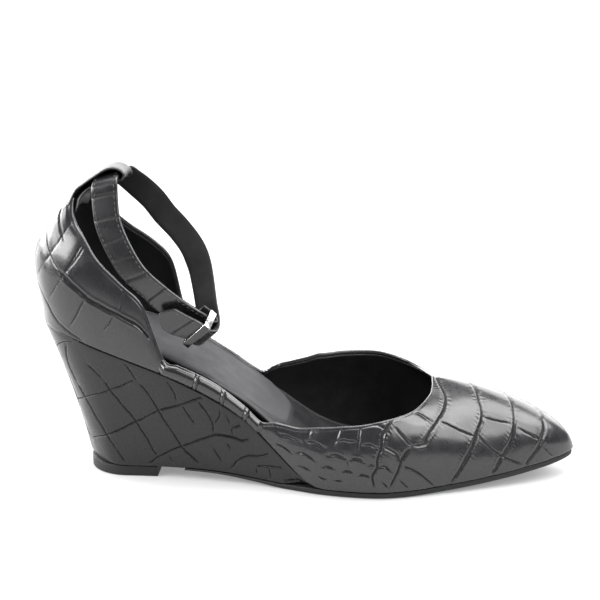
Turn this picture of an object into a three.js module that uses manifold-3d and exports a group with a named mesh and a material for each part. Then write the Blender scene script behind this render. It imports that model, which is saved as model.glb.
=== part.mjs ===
// Women's wedge pump for the right foot, with a pointed toe, open sides and an ankle strap.
// Millimetres. X runs from heel to toe, Y from the outer side (minus) to the inner side (plus), Z up.
// The origin is the middle of the heel top piece, on the floor.
import * as THREE from 'three';
import Module from 'manifold-3d';

const wasm = await Module();
wasm.setup();

// Driving dimensions
const lastLength = 240;
const lastStart = -36;
const halfBall = 36;
const heelHeight = 70.5;
const collarHeight = 58;
const toeLift = 8.5;
const archLift = 4;
const soleThickness = 2.6;
const insoleThickness = 2.4;
const upperWall = 1.7;
const clearance = 0.3;
const topPieceLength = 33;
const topPieceHalfWidth = 18;
const topPieceThickness = 4.6;
const strapWidth = 11.5;
const strapThickness = 1.6;
const loopWidth = 20;
const loopThickness = 1.6;
const buckleLength = 15.7;
const buckleHeight = 12.1;
const buckleDepth = 3.2;
const buckleBar = 1.3;
const bandStep = 0.7;
const bandBack = 0.262;
const bandFront = 0.425;
const stepWay = 0.0022;

// Edge of the last seen from above: shares of the last's length and of half the ball width
const lastEdge = [
  { along: 0.010, outer: 0.27, inner: 0.27 },
  { along: 0.038, outer: 0.50, inner: 0.49 },
  { along: 0.088, outer: 0.66, inner: 0.64 },
  { along: 0.170, outer: 0.74, inner: 0.71 },
  { along: 0.250, outer: 0.73, inner: 0.67 },
  { along: 0.330, outer: 0.70, inner: 0.61 },
  { along: 0.400, outer: 0.70, inner: 0.59 },
  { along: 0.460, outer: 0.79, inner: 0.65 },
  { along: 0.520, outer: 0.92, inner: 0.78 },
  { along: 0.580, outer: 0.99, inner: 0.93 },
  { along: 0.640, outer: 1.00, inner: 1.03 },
  { along: 0.690, outer: 0.93, inner: 1.03 },
  { along: 0.750, outer: 0.79, inner: 0.92 },
  { along: 0.830, outer: 0.60, inner: 0.73 },
  { along: 0.910, outer: 0.38, inner: 0.49 },
  { along: 0.970, outer: 0.16, inner: 0.27 },
  { along: 0.995, outer: 0.00, inner: 0.15 },
];
const toePoint = 0.085;
const wedgeHollow = 1.2;
const soleInset = 0.4;
const rearTipHalf = 0.4;
const insoleInset = upperWall + 3 * clearance;
const plateauInset = upperWall + 2.5 * clearance;
const plateauRoot = 3;
const plateauLeast = 1;
const toeSpringPower = 1.7;
const heelCentre = 0.2;

// Side view: the seam between wedge and upper, and the top of the insole, as shares of the heel height
const seamLine = [
  { along: 0.000, height: 1.000 },
  { along: 0.067, height: 0.938 },
  { along: 0.150, height: 0.840 },
  { along: 0.233, height: 0.728 },
  { along: 0.317, height: 0.580 },
  { along: 0.388, height: 0.418 },
  { along: 0.425, height: 0.293 },
  { along: 0.463, height: 0.160 },
  { along: 0.492, height: 0.068 },
  { along: 0.517, height: 0.015 },
  { along: 0.535, height: 0.000 },
];
const insoleLine = [
  { along: 0.000, height: 1.060 },
  { along: 0.088, height: 0.990 },
  { along: 0.150, height: 0.920 },
  { along: 0.233, height: 0.823 },
  { along: 0.304, height: 0.700 },
  { along: 0.354, height: 0.588 },
  { along: 0.396, height: 0.486 },
  { along: 0.433, height: 0.381 },
  { along: 0.471, height: 0.275 },
  { along: 0.508, height: 0.172 },
  { along: 0.546, height: 0.091 },
  { along: 0.588, height: 0.034 },
  { along: 0.629, height: 0.010 },
  { along: 0.670, height: 0.000 },
];

// Top edge of the upper on each side: way around from heel (0) to toe (1), place, and rise above the seam
// as a share of the collar height
const outerTop = [
  { way: 0.000, along: 0.069, across: 0.00, rise: 1.075 },
  { way: 0.036, along: 0.073, across: 0.28, rise: 1.055 },
  { way: 0.062, along: 0.078, across: 0.40, rise: 0.915 },
  { way: 0.095, along: 0.097, across: 0.53, rise: 0.830 },
  { way: 0.140, along: 0.126, across: 0.66, rise: 0.700 },
  { way: 0.185, along: 0.172, across: 0.73, rise: 0.590 },
  { way: 0.220, along: 0.207, across: 0.74, rise: 0.500 },
  { way: 0.245, along: 0.228, across: 0.73, rise: 0.290 },
  { way: 0.262, along: 0.245, across: 0.72, rise: 0.135 },
  { way: 0.285, along: 0.268, across: 0.71, rise: 0.140 },
  { way: 0.350, along: 0.335, across: 0.70, rise: 0.150 },
  { way: 0.400, along: 0.392, across: 0.70, rise: 0.125 },
  { way: 0.425, along: 0.420, across: 0.72, rise: 0.130 },
  { way: 0.480, along: 0.485, across: 0.80, rise: 0.375 },
  { way: 0.540, along: 0.555, across: 0.87, rise: 0.490 },
  { way: 0.600, along: 0.605, across: 0.88, rise: 0.515 },
  { way: 0.690, along: 0.657, across: 0.81, rise: 0.570 },
  { way: 0.780, along: 0.695, across: 0.58, rise: 0.590 },
  { way: 0.880, along: 0.720, across: 0.27, rise: 0.640 },
  { way: 0.950, along: 0.728, across: 0.04, rise: 0.680 },
  { way: 1.000, along: 0.729, across: -0.14, rise: 0.710 },
];
const innerTop = [
  { way: 0.000, along: 0.069, across: 0.00, rise: 1.075 },
  { way: 0.036, along: 0.073, across: 0.28, rise: 1.055 },
  { way: 0.062, along: 0.080, across: 0.42, rise: 0.985 },
  { way: 0.095, along: 0.105, across: 0.54, rise: 0.910 },
  { way: 0.140, along: 0.148, across: 0.66, rise: 0.830 },
  { way: 0.185, along: 0.197, across: 0.71, rise: 0.750 },
  { way: 0.215, along: 0.228, across: 0.71, rise: 0.650 },
  { way: 0.240, along: 0.246, across: 0.69, rise: 0.390 },
  { way: 0.262, along: 0.258, across: 0.67, rise: 0.165 },
  { way: 0.285, along: 0.280, across: 0.65, rise: 0.160 },
  { way: 0.350, along: 0.340, across: 0.60, rise: 0.160 },
  { way: 0.400, along: 0.400, across: 0.59, rise: 0.190 },
  { way: 0.440, along: 0.445, across: 0.63, rise: 0.420 },
  { way: 0.490, along: 0.505, across: 0.72, rise: 0.690 },
  { way: 0.550, along: 0.570, across: 0.86, rise: 0.745 },
  { way: 0.610, along: 0.625, across: 0.93, rise: 0.740 },
  { way: 0.690, along: 0.672, across: 0.88, rise: 0.705 },
  { way: 0.780, along: 0.704, across: 0.66, rise: 0.680 },
  { way: 0.880, along: 0.722, across: 0.40, rise: 0.690 },
  { way: 0.950, along: 0.728, across: 0.23, rise: 0.700 },
  { way: 1.000, along: 0.729, across: 0.14, rise: 0.710 },
];

// Fullness of the wall between seam and top edge: shares of half the ball width, outwards and up
const fullness = [
  { way: 0.000, lowOut: 0.14, lowUp: -0.08, highOut: 0.74, highUp: -0.18 },
  { way: 0.062, lowOut: 0.13, lowUp: -0.06, highOut: 0.46, highUp: -0.14 },
  { way: 0.140, lowOut: 0.08, lowUp: 0.00, highOut: 0.14, highUp: 0.00 },
  { way: 0.220, lowOut: 0.07, lowUp: 0.00, highOut: 0.06, highUp: 0.00 },
  { way: 0.300, lowOut: 0.05, lowUp: 0.00, highOut: 0.05, highUp: 0.00 },
  { way: 0.420, lowOut: 0.05, lowUp: 0.00, highOut: 0.05, highUp: 0.00 },
  { way: 0.540, lowOut: 0.10, lowUp: 0.02, highOut: 0.10, highUp: 0.02 },
  { way: 0.640, lowOut: 0.12, lowUp: 0.06, highOut: 0.12, highUp: 0.08 },
  { way: 0.760, lowOut: 0.13, lowUp: 0.14, highOut: 0.12, highUp: 0.16 },
  { way: 0.880, lowOut: 0.22, lowUp: 0.16, highOut: 0.10, highUp: 0.16 },
  { way: 1.000, lowOut: 0.54, lowUp: 0.17, highOut: 0.16, highUp: 0.19 },
];

// Underside of the wedge and rear of the outsole seen from above
const treadEdge = [
  { along: 0.084, outer: 0.22, inner: 0.22 },
  { along: 0.100, outer: 0.38, inner: 0.38 },
  { along: 0.138, outer: 0.50, inner: 0.49 },
  { along: 0.217, outer: 0.52, inner: 0.50 },
  { along: 0.271, outer: 0.55, inner: 0.51 },
  { along: 0.338, outer: 0.61, inner: 0.53 },
  { along: 0.404, outer: 0.68, inner: 0.57 },
  { along: 0.460, outer: 0.78, inner: 0.64 },
];

// Underside of the outsole: lift off the floor behind the tread as a share of the arch lift, and its
// thickness as a share of the full thickness
const soleRear = [
  { along: 0.271, lift: 1.00, thick: 0.35 },
  { along: 0.338, lift: 0.86, thick: 0.42 },
  { along: 0.404, lift: 0.38, thick: 0.58 },
  { along: 0.450, lift: 0.06, thick: 0.77 },
  { along: 0.475, lift: 0.00, thick: 0.90 },
  { along: 0.505, lift: 0.00, thick: 1.00 },
];
const soleStart = 0.271;
const toeBreak = 0.665;
const wedgeEnd = 0.512;
const plateauEnd = 0.586;
const insoleEnd = 0.935;
const treadEnd = 0.46;
const forepartStart = 0.49;

// Route of the ankle strap, from the free end's turn up the inner side, through the loop and down to the
// buckle: place as shares, and the direction across the strap
const strapRoute = [
  { along: 0.311, across: -0.17, rise: 0.112, wx: 0.74, wy: -0.10, wz: 0.62 },
  { along: 0.297, across: 0.22, rise: 0.226, wx: 0.80, wy: -0.05, wz: 0.56 },
  { along: 0.284, across: 0.49, rise: 0.340, wx: 0.84, wy: 0.05, wz: 0.50 },
  { along: 0.268, across: 0.63, rise: 0.456, wx: 0.80, wy: 0.40, wz: 0.42 },
  { along: 0.245, across: 0.67, rise: 0.582, wx: 0.76, wy: 0.50, wz: 0.40 },
  { along: 0.217, across: 0.62, rise: 0.724, wx: 0.76, wy: 0.50, wz: 0.42 },
  { along: 0.196, across: 0.52, rise: 0.866, wx: 0.78, wy: 0.35, wz: 0.50 },
  { along: 0.159, across: 0.39, rise: 1.017, wx: 0.80, wy: 0.00, wz: 0.58 },
  { along: 0.145, across: 0.27, rise: 1.074, wx: 0.86, wy: 0.00, wz: 0.50 },
  { along: 0.140, across: 0.00, rise: 1.084, wx: 0.90, wy: 0.00, wz: 0.42 },
  { along: 0.133, across: -0.24, rise: 1.088, wx: 0.94, wy: 0.00, wz: 0.33 },
  { along: 0.132, across: -0.34, rise: 1.045, wx: 0.95, wy: 0.00, wz: 0.30 },
  { along: 0.134, across: -0.39, rise: 0.966, wx: 0.96, wy: 0.00, wz: 0.26 },
  { along: 0.140, across: -0.47, rise: 0.816, wx: 0.97, wy: 0.00, wz: 0.20 },
  { along: 0.160, across: -0.56, rise: 0.629, wx: 0.93, wy: 0.00, wz: 0.36 },
  { along: 0.190, across: -0.62, rise: 0.434, wx: 0.86, wy: 0.00, wz: 0.48 },
  { along: 0.224, across: -0.62, rise: 0.300, wx: 0.76, wy: -0.05, wz: 0.64 },
  { along: 0.260, across: -0.58, rise: 0.178, wx: 0.71, wy: -0.15, wz: 0.68 },
];

// Ends of the ankle strap, in millimetres from the middle of the buckle and of its bars
const strapTip = [
  { inward: -1.8, forward: -18.5, across: -3.6 },
  { inward: -1.6, forward: -10, across: -1.8 },
];
const strapTurn = [
  { inward: 2.6, forward: 3.2 },
  { inward: 8, forward: 3.6 },
];
const strapLead = { inward: -1.2, forward: -6 };
const strapTail = -3;

const bucklePlace = { along: 0.305, across: -0.554, rise: 0.011 };
const buckleAcross = new THREE.Vector3(0.679, -0.293, 0.678).normalize();
const buckleInward = new THREE.Vector3(0.133, 0.950, 0.281).normalize();
const buckleForward = new THREE.Vector3().crossVectors(buckleInward, buckleAcross).normalize();

// Side view of the folded loop at the top of the counter, centre line of its leather
const loopFold = [
  { along: 0.062, rise: 0.955 },
  { along: 0.077, rise: 1.045 },
  { along: 0.106, rise: 1.130 },
  { along: 0.135, rise: 1.178 },
  { along: 0.162, rise: 1.180 },
  { along: 0.177, rise: 1.135 },
  { along: 0.168, rise: 1.068 },
  { along: 0.120, rise: 0.970 },
  { along: 0.068, rise: 0.920 },
];
const loopFlatRise = 1.04;
const loopRoundSpan = 0.12;
const loopRound = 0.72;

// Counts of ribs, ring points and steps
const outlineSteps = 1200;
const ribPoints = 11;
const ribStretches = [
  { from: 0, to: bandBack, ribs: 16 },
  { from: bandBack + stepWay, to: bandFront - stepWay, ribs: 9 },
  { from: bandFront, to: 1, ribs: 33 },
];
const wedgeRingPoints = 34;
const wedgeLevels = 6;
const insoleRingPoints = 40;
const outsoleRearPoints = 12;
const outsoleFrontPoints = 32;
const topPieceArcSteps = 14;
const strapSteps = 108;
const loopSteps = 26;
const loopColumns = 6;
const crowding = 1.6;

const leather = new THREE.MeshStandardMaterial({ color: 0x1b1b1e, roughness: 0.38, metalness: 0 });
const wedgeLeather = new THREE.MeshStandardMaterial({ color: 0x18181b, roughness: 0.4, metalness: 0 });
const liningLeather = new THREE.MeshStandardMaterial({ color: 0x3b3c3f, roughness: 0.55, metalness: 0 });
const rubber = new THREE.MeshStandardMaterial({ color: 0x101011, roughness: 0.7, metalness: 0 });
const polishedMetal = new THREE.MeshStandardMaterial({ color: 0xd8d8d6, roughness: 0.15, metalness: 1 });

// Smooth value of one column of a table at a place given by another column
function valueAt(rows, key, column, place) {
  const last = rows.length - 1;
  if (place <= rows[0][key]) return rows[0][column];
  if (place >= rows[last][key]) return rows[last][column];
  let i = 0;
  while (place > rows[i + 1][key]) i += 1;
  const slope = (k) => {
    const before = rows[Math.max(k - 1, 0)];
    const after = rows[Math.min(k + 1, last)];
    return (after[column] - before[column]) / (after[key] - before[key]);
  };
  const span = rows[i + 1][key] - rows[i][key];
  const t = (place - rows[i][key]) / span;
  const blend = 3 * t ** 2 - 2 * t ** 3;
  const leave = t ** 3 - 2 * t ** 2 + t;
  const arrive = t ** 3 - t ** 2;
  return (1 - blend) * rows[i][column] + blend * rows[i + 1][column]
    + span * (leave * slope(i) + arrive * slope(i + 1));
}

const xAt = (along) => lastStart + along * lastLength;
const alongAt = (x) => (x - lastStart) / lastLength;
const shoePoint = (along, across, rise) => new THREE.Vector3(
  xAt(along), across * halfBall, heelHeight + rise * collarHeight);

// Lift of the forepart off the floor towards the toe
function toeSpring(along) {
  const share = Math.max(0, (along - toeBreak) / (1 - toeBreak));
  return toeLift * share ** toeSpringPower;
}

const seamHeight = (along) => soleThickness + toeSpring(along)
  + valueAt(seamLine, 'along', 'height', along) * (heelHeight - soleThickness);

const insoleTop = (along) => soleThickness + toeSpring(along) + clearance + insoleThickness
  + valueAt(insoleLine, 'along', 'height', along) * (heelHeight - soleThickness);

const soleBottom = (along) => toeSpring(along)
  + archLift * Math.max(0, valueAt(soleRear, 'along', 'lift', along));

const soleTop = (along) => soleBottom(along) + soleThickness * valueAt(soleRear, 'along', 'thick', along);

function wedgeBottom(along) {
  const rear = topPieceThickness + clearance;
  if (along <= soleStart) return rear;
  return soleTop(along) + clearance;
}

// Closed smooth outline from rows of an edge table, walked from the heel along the outer side to the toe
// and back along the inner side
function outlineCurve(rows, back, front) {
  const points = [new THREE.Vector3(xAt(back), 0, 0)];
  for (const row of rows) points.push(new THREE.Vector3(xAt(row.along), -row.outer * halfBall, 0));
  points.push(new THREE.Vector3(xAt(front.along), front.across * halfBall, 0));
  for (const row of [...rows].reverse()) {
    points.push(new THREE.Vector3(xAt(row.along), row.inner * halfBall, 0));
  }
  const curve = new THREE.CatmullRomCurve3(points, true, 'centripetal');
  curve.arcLengthDivisions = outlineSteps;
  return curve;
}

const lastOutline = outlineCurve(lastEdge, 0, { along: 1, across: toePoint });
const outlinePoints = lastOutline.getSpacedPoints(outlineSteps);
let toeIndex = 0;
outlinePoints.forEach((point, i) => {
  if (point.x > outlinePoints[toeIndex].x) toeIndex = i;
});
const toeShare = toeIndex / outlineSteps;

// Outline point and its outward direction at a way around each side: 0 at the heel, 1 at the toe
function edgeAt(side, way) {
  const share = side < 0 ? way * toeShare : 1 - way * (1 - toeShare);
  const point = lastOutline.getPointAt(((share % 1) + 1) % 1);
  const tangent = lastOutline.getTangentAt(((share % 1) + 1) % 1);
  return { point, out: new THREE.Vector3(tangent.y, -tangent.x, 0).normalize() };
}

// Outer skin of the upper: a rib from the seam to the top edge, bent by the fullness of that place
function upperSkin(side, way, up) {
  const { point, out } = edgeAt(side, way);
  const topRows = side < 0 ? outerTop : innerTop;
  const top = {
    along: valueAt(topRows, 'way', 'along', way),
    across: side * valueAt(topRows, 'way', 'across', way),
    rise: valueAt(topRows, 'way', 'rise', way),
  };
  const foot = new THREE.Vector3(point.x, point.y, seamHeight(alongAt(point.x)) + clearance);
  const head = new THREE.Vector3(
    xAt(top.along), top.across * halfBall, seamHeight(top.along) + top.rise * collarHeight);
  const bend = (share, outColumn, upColumn) => new THREE.Vector3().lerpVectors(foot, head, share)
    .addScaledVector(out, valueAt(fullness, 'way', outColumn, way) * halfBall)
    .add(new THREE.Vector3(0, 0, valueAt(fullness, 'way', upColumn, way) * halfBall));
  const low = bend(1 / 3, 'lowOut', 'lowUp');
  const high = bend(2 / 3, 'highOut', 'highUp');
  return new THREE.CubicBezierCurve3(foot, low, high, head).getPoint(up);
}

// Triangle lists: a grid of vertex numbers becomes two triangles a cell
function gridFaces(faces, rows, flip) {
  for (let i = 0; i + 1 < rows.length; i += 1) {
    for (let j = 0; j + 1 < rows[i].length; j += 1) {
      const a = rows[i][j];
      const b = rows[i + 1][j];
      const c = rows[i + 1][j + 1];
      const d = rows[i][j + 1];
      if (flip) faces.push(a, c, b, a, d, c);
      else faces.push(a, b, c, a, c, d);
    }
  }
}

function toSolid(points, faces) {
  const vertProperties = new Float32Array(points.length * 3);
  points.forEach((p, i) => vertProperties.set([p.x, p.y, p.z], i * 3));
  const triVerts = new Uint32Array(faces);
  const solid = new wasm.Manifold(new wasm.Mesh({ numProp: 3, vertProperties, triVerts }));
  if (solid.volume() < 0) throw new Error('solid is inside out');
  return solid;
}

function toMesh(name, solid, material) {
  const { vertProperties, triVerts, numProp } = solid.getMesh();
  const positions = new Float32Array((vertProperties.length / numProp) * 3);
  for (let i = 0; i < positions.length / 3; i += 1) {
    for (let k = 0; k < 3; k += 1) positions[i * 3 + k] = vertProperties[i * numProp + k];
  }
  const geometry = new THREE.BufferGeometry();
  geometry.setAttribute('position', new THREE.BufferAttribute(positions, 3));
  geometry.setIndex(new THREE.BufferAttribute(new Uint32Array(triVerts), 1));
  const mesh = new THREE.Mesh(geometry, material);
  mesh.name = name;
  return mesh;
}

// Hollow shell of the upper: outer skin, inner skin one wall inside it, and both rims. Between counter and
// vamp the outer skin steps in to the side bands, which the counter and the vamp overlap
function upperShell() {
  const ways = [];
  for (const { from, to, ribs } of ribStretches) {
    for (let i = 0; i < ribs; i += 1) ways.push(from + (to - from) * (i / (ribs - 1)));
  }
  const places = ways.slice(0, -1).map((way) => ({ side: -1, way }));
  places.push(...ways.slice(1).reverse().map((way) => ({ side: 1, way })));
  const skin = places.map(({ side, way }) => {
    const rib = [];
    for (let j = 0; j <= ribPoints; j += 1) rib.push(upperSkin(side, way, j / ribPoints));
    return rib;
  });
  const count = places.length;
  const points = [];
  const outer = [];
  const inner = [];
  for (let i = 0; i < count; i += 1) {
    const before = skin[(i + count - 1) % count];
    const after = skin[(i + 1) % count];
    const inBand = places[i].way > bandBack && places[i].way < bandFront;
    const outerDepth = inBand ? bandStep : 0;
    outer.push([]);
    inner.push([]);
    for (let j = 0; j <= ribPoints; j += 1) {
      const here = skin[i][j];
      const along = after[j].clone().sub(before[j]);
      const upward = skin[i][Math.min(j + 1, ribPoints)].clone().sub(skin[i][Math.max(j - 1, 0)]);
      const inward = new THREE.Vector3().crossVectors(upward, along).normalize();
      outer[i].push(points.length);
      points.push(here.clone().addScaledVector(inward, outerDepth));
      inner[i].push(points.length);
      points.push(here.clone().addScaledVector(inward, upperWall));
    }
  }
  outer.push(outer[0]);
  inner.push(inner[0]);
  const faces = [];
  gridFaces(faces, outer, false);
  gridFaces(faces, inner, true);
  gridFaces(faces, outer.map((row, i) => [inner[i][0], row[0]]), false);
  gridFaces(faces, outer.map((row, i) => [row[ribPoints], inner[i][ribPoints]]), false);
  return toSolid(points, faces);
}

// Closed solid from rings of as many points, one above another; each ring runs along the outer side and
// back along the inner side, so its cap is a strip of cells from side to side
function stackedSolid(rings) {
  const points = [];
  const rows = rings.map((ring) => ring.map((p) => points.push(p) - 1));
  const faces = [];
  gridFaces(faces, rows.map((row) => [...row, row[0]]), true);
  const cap = (row, flip) => {
    const far = row.length - 1;
    const half = row.length / 2;
    for (let i = 0; i + 1 < half; i += 1) {
      const [a, b, c, d] = [row[i], row[i + 1], row[far - i - 1], row[far - i]];
      if (flip) faces.push(a, c, b, a, d, c);
      else faces.push(a, b, c, a, c, d);
    }
  };
  cap(rows[0], true);
  cap(rows[rows.length - 1], false);
  return toSolid(points, faces);
}

// Point of the last's edge moved inwards by an inset, at a place along the last on one side
function insetPoint(side, along, inset) {
  const halvings = 24;
  let low = 0;
  let high = 1;
  const moved = (way) => {
    const { point, out } = edgeAt(side, way);
    return new THREE.Vector3(point.x - out.x * inset, point.y - out.y * inset, 0);
  };
  for (let i = 0; i < halvings; i += 1) {
    const middle = (low + high) / 2;
    if (alongAt(moved(middle).x) < along) low = middle;
    else high = middle;
  }
  return moved((low + high) / 2);
}

// Ring of the last's edge moved inwards, with equal places on both sides and closer ones at the heel, which
// starts a hair in front of the rearmost point so that its two sides stay apart
function lastRing(count, inset, front, height) {
  const hair = 0.2;
  const rear = alongAt(lastStart + inset + hair);
  const ring = [];
  for (const side of [-1, 1]) {
    const edge = [];
    for (let i = 0; i < count; i += 1) {
      const along = rear + (front - rear) * (i / (count - 1)) ** crowding;
      const point = insetPoint(side, along, inset);
      edge.push(point.setZ(height(along)));
    }
    ring.push(...(side < 0 ? edge : edge.reverse()));
  }
  return ring;
}

// Point of the tread's edge on one side at a place along the last
function treadPoint(side, along) {
  const column = side < 0 ? 'outer' : 'inner';
  return new THREE.Vector3(xAt(along), side * valueAt(treadEdge, 'along', column, along) * halfBall, 0);
}

// Lower ring of the wedge: round behind the heel top piece, then along the tread's edge
function wedgeFootRing(upperRing) {
  const half = upperRing.length / 2;
  const rear = -topPieceLength / 2;
  const front = xAt(wedgeEnd);
  return upperRing.map((p, i) => {
    const side = i < half ? -1 : 1;
    const order = i < half ? i : upperRing.length - 1 - i;
    const share = (order / (half - 1)) ** crowding;
    const along = alongAt(rear + (front - rear) * share);
    const round = Math.min(1, (xAt(along) - rear) / topPieceHalfWidth);
    const across = Math.abs(treadPoint(side, along).y) * Math.sqrt(1 - (1 - round) ** 2);
    return new THREE.Vector3(xAt(along), side * Math.max(across, rearTipHalf), wedgeBottom(along));
  });
}

// Body of the wedge up to the seam, and the plateau inside the upper that the insole lies on
function makeWedge() {
  const head = lastRing(wedgeRingPoints, 0, wedgeEnd, seamHeight);
  const foot = wedgeFootRing(head);
  const rings = [];
  for (let k = 0; k <= wedgeLevels; k += 1) {
    const share = k / wedgeLevels;
    rings.push(foot.map((p, i) => {
      const point = new THREE.Vector3().lerpVectors(p, head[i], share);
      const tall = head[i].z - p.z;
      const hollow = wedgeHollow * Math.sin(Math.PI * share) * (tall / heelHeight);
      const inward = new THREE.Vector3(xAt(heelCentre), 0, point.z).sub(point).normalize();
      return point.addScaledVector(inward, hollow);
    }));
  }
  const top = (along) => insoleTop(along) - insoleThickness - clearance;
  const plateauTop = lastRing(wedgeRingPoints, plateauInset, plateauEnd, top);
  const plateauFoot = plateauTop.map((p) => {
    const along = alongAt(p.x);
    const root = Math.min(p.z - plateauLeast, seamHeight(along) - plateauRoot);
    return new THREE.Vector3(p.x, p.y, Math.max(wedgeBottom(along), root));
  });
  return stackedSolid(rings).add(stackedSolid([plateauFoot, plateauTop]));
}

function makeInsole() {
  const underside = (along) => insoleTop(along) - insoleThickness;
  const bottom = lastRing(insoleRingPoints, insoleInset, insoleEnd, underside);
  const top = lastRing(insoleRingPoints, insoleInset, insoleEnd, insoleTop);
  return stackedSolid([bottom, top]);
}

// Outsole: it follows the narrow tread under the wedge, then the last's edge round the forepart
function makeOutsole() {
  const lastWay = 0.998;
  const wayStep = 0.002;
  const side = (sign) => {
    const edge = [];
    for (let i = 0; i < outsoleRearPoints; i += 1) {
      edge.push(treadPoint(sign, soleStart + (treadEnd - soleStart) * (i / outsoleRearPoints)));
    }
    let start = 0;
    while (alongAt(edgeAt(sign, start).point.x) < forepartStart) start += wayStep;
    for (let i = 0; i < outsoleFrontPoints; i += 1) {
      const way = start + (lastWay - start) * (i / (outsoleFrontPoints - 1));
      const { point, out } = edgeAt(sign, way);
      edge.push(new THREE.Vector3(point.x - out.x * soleInset, point.y - out.y * soleInset, 0));
    }
    return edge;
  };
  const ring = [...side(-1), ...side(1).reverse()];
  const level = (height) => ring.map((p) => new THREE.Vector3(p.x, p.y, height(alongAt(p.x))));
  return stackedSolid([level(soleBottom), level(soleTop)]);
}

function makeTopPiece() {
  const rear = -topPieceLength / 2;
  const ring = [];
  for (const side of [-1, 1]) {
    const edge = [];
    for (let i = 0; i <= topPieceArcSteps; i += 1) {
      const turn = (Math.PI / 2) * (i / topPieceArcSteps);
      const across = Math.max(rearTipHalf, topPieceHalfWidth * Math.sin(turn));
      edge.push(new THREE.Vector3(rear + topPieceHalfWidth * (1 - Math.cos(turn)), side * across, 0));
    }
    edge.push(new THREE.Vector3(topPieceLength / 2, side * topPieceHalfWidth, 0));
    ring.push(...(side < 0 ? edge : edge.reverse()));
  }
  const level = (z) => ring.map((p) => new THREE.Vector3(p.x, p.y, z));
  return stackedSolid([level(0), level(topPieceThickness)]);
}

// Flat band swept along a route of points, each with the direction across the band
function sweptBand(route, width, thickness, steps) {
  const path = new THREE.CatmullRomCurve3(route.map((r) => r.point), false, 'centripetal');
  const points = [];
  const rows = [];
  for (let i = 0; i <= steps; i += 1) {
    const t = i / steps;
    const spot = t * (route.length - 1);
    const k = Math.min(Math.floor(spot), route.length - 2);
    const across = new THREE.Vector3().lerpVectors(route[k].across, route[k + 1].across, spot - k);
    const tangent = path.getTangent(t);
    across.addScaledVector(tangent, -across.dot(tangent)).normalize();
    const normal = new THREE.Vector3().crossVectors(tangent, across);
    const centre = path.getPoint(t);
    const corner = (a, n) => centre.clone().addScaledVector(across, a * width / 2)
      .addScaledVector(normal, n * thickness / 2);
    const ring = [corner(-1, -1), corner(1, -1), corner(1, 1), corner(-1, 1)];
    rows.push(ring.map((p) => points.push(p) - 1));
  }
  const faces = [];
  gridFaces(faces, rows.map((row) => [...row, row[0]]), true);
  const [a, b, c, d] = rows[0];
  faces.push(a, c, b, a, d, c);
  const [e, f, g, h] = rows[steps];
  faces.push(e, f, g, e, g, h);
  return toSolid(points, faces);
}

// Place measured from the middle of the buckle frame, in its own directions
const buckleMiddle = shoePoint(bucklePlace.along, bucklePlace.across, bucklePlace.rise);
const fromBuckle = (inward, forward, across = 0) => buckleMiddle.clone()
  .addScaledVector(buckleInward, inward)
  .addScaledVector(buckleForward, forward)
  .addScaledVector(buckleAcross, across);

// Ankle strap: its free end lies under the buckle's outer bar, its other end is folded round the inner bar
function makeStrap() {
  const innerBar = buckleHeight / 2 - buckleBar / 2;
  const wrap = buckleBar / 2 + 2 * clearance + strapThickness / 2;
  const pass = -(buckleHeight / 2 - buckleBar - clearance - strapThickness / 2);
  const reach = buckleDepth / 2;
  const foldSlack = 0.1;
  const over = buckleAcross;
  const tipAcross = new THREE.Vector3(0.6, -0.1, 0.79);
  const row = (point, across) => ({ point, across });
  const route = strapTip.map((r) => row(fromBuckle(pass + r.inward, r.forward, r.across), tipAcross));
  route.push(row(fromBuckle(pass, -reach), over));
  route.push(row(fromBuckle(pass, reach), over));
  for (const r of strapTurn) route.push(row(fromBuckle(pass + r.inward, reach + r.forward), over));
  for (const r of strapRoute) {
    route.push(row(shoePoint(r.along, r.across, r.rise), new THREE.Vector3(r.wx, r.wy, r.wz)));
  }
  route.push(row(fromBuckle(innerBar - wrap + strapLead.inward, strapLead.forward), over));
  route.push(row(fromBuckle(innerBar - wrap, -reach), over));
  route.push(row(fromBuckle(innerBar - wrap, reach), over));
  route.push(row(fromBuckle(innerBar, reach + wrap + foldSlack), over));
  route.push(row(fromBuckle(innerBar + wrap, reach), over));
  route.push(row(fromBuckle(innerBar + wrap, strapTail - reach), over));
  return sweptBand(route, strapWidth, strapThickness, strapSteps);
}

// Rectangular frame of flat band, with its window across the strap
function makeBuckle() {
  const rectangle = (shape, long, short) => {
    shape.moveTo(-long, -short);
    shape.lineTo(long, -short);
    shape.lineTo(long, short);
    shape.lineTo(-long, short);
    shape.closePath();
    return shape;
  };
  const frame = rectangle(new THREE.Shape(), buckleLength / 2, buckleHeight / 2);
  const window = rectangle(new THREE.Path(), buckleLength / 2 - buckleBar, buckleHeight / 2 - buckleBar);
  frame.holes.push(window);
  const geometry = new THREE.ExtrudeGeometry(frame, { depth: buckleDepth, bevelEnabled: false });
  geometry.translate(0, 0, -buckleDepth / 2);
  const mesh = new THREE.Mesh(geometry, polishedMetal);
  mesh.name = 'buckle';
  const turned = new THREE.Matrix4().makeBasis(buckleAcross, buckleInward.clone().negate(), buckleForward);
  mesh.quaternion.setFromRotationMatrix(turned);
  mesh.position.copy(buckleMiddle);
  return mesh;
}

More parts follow.
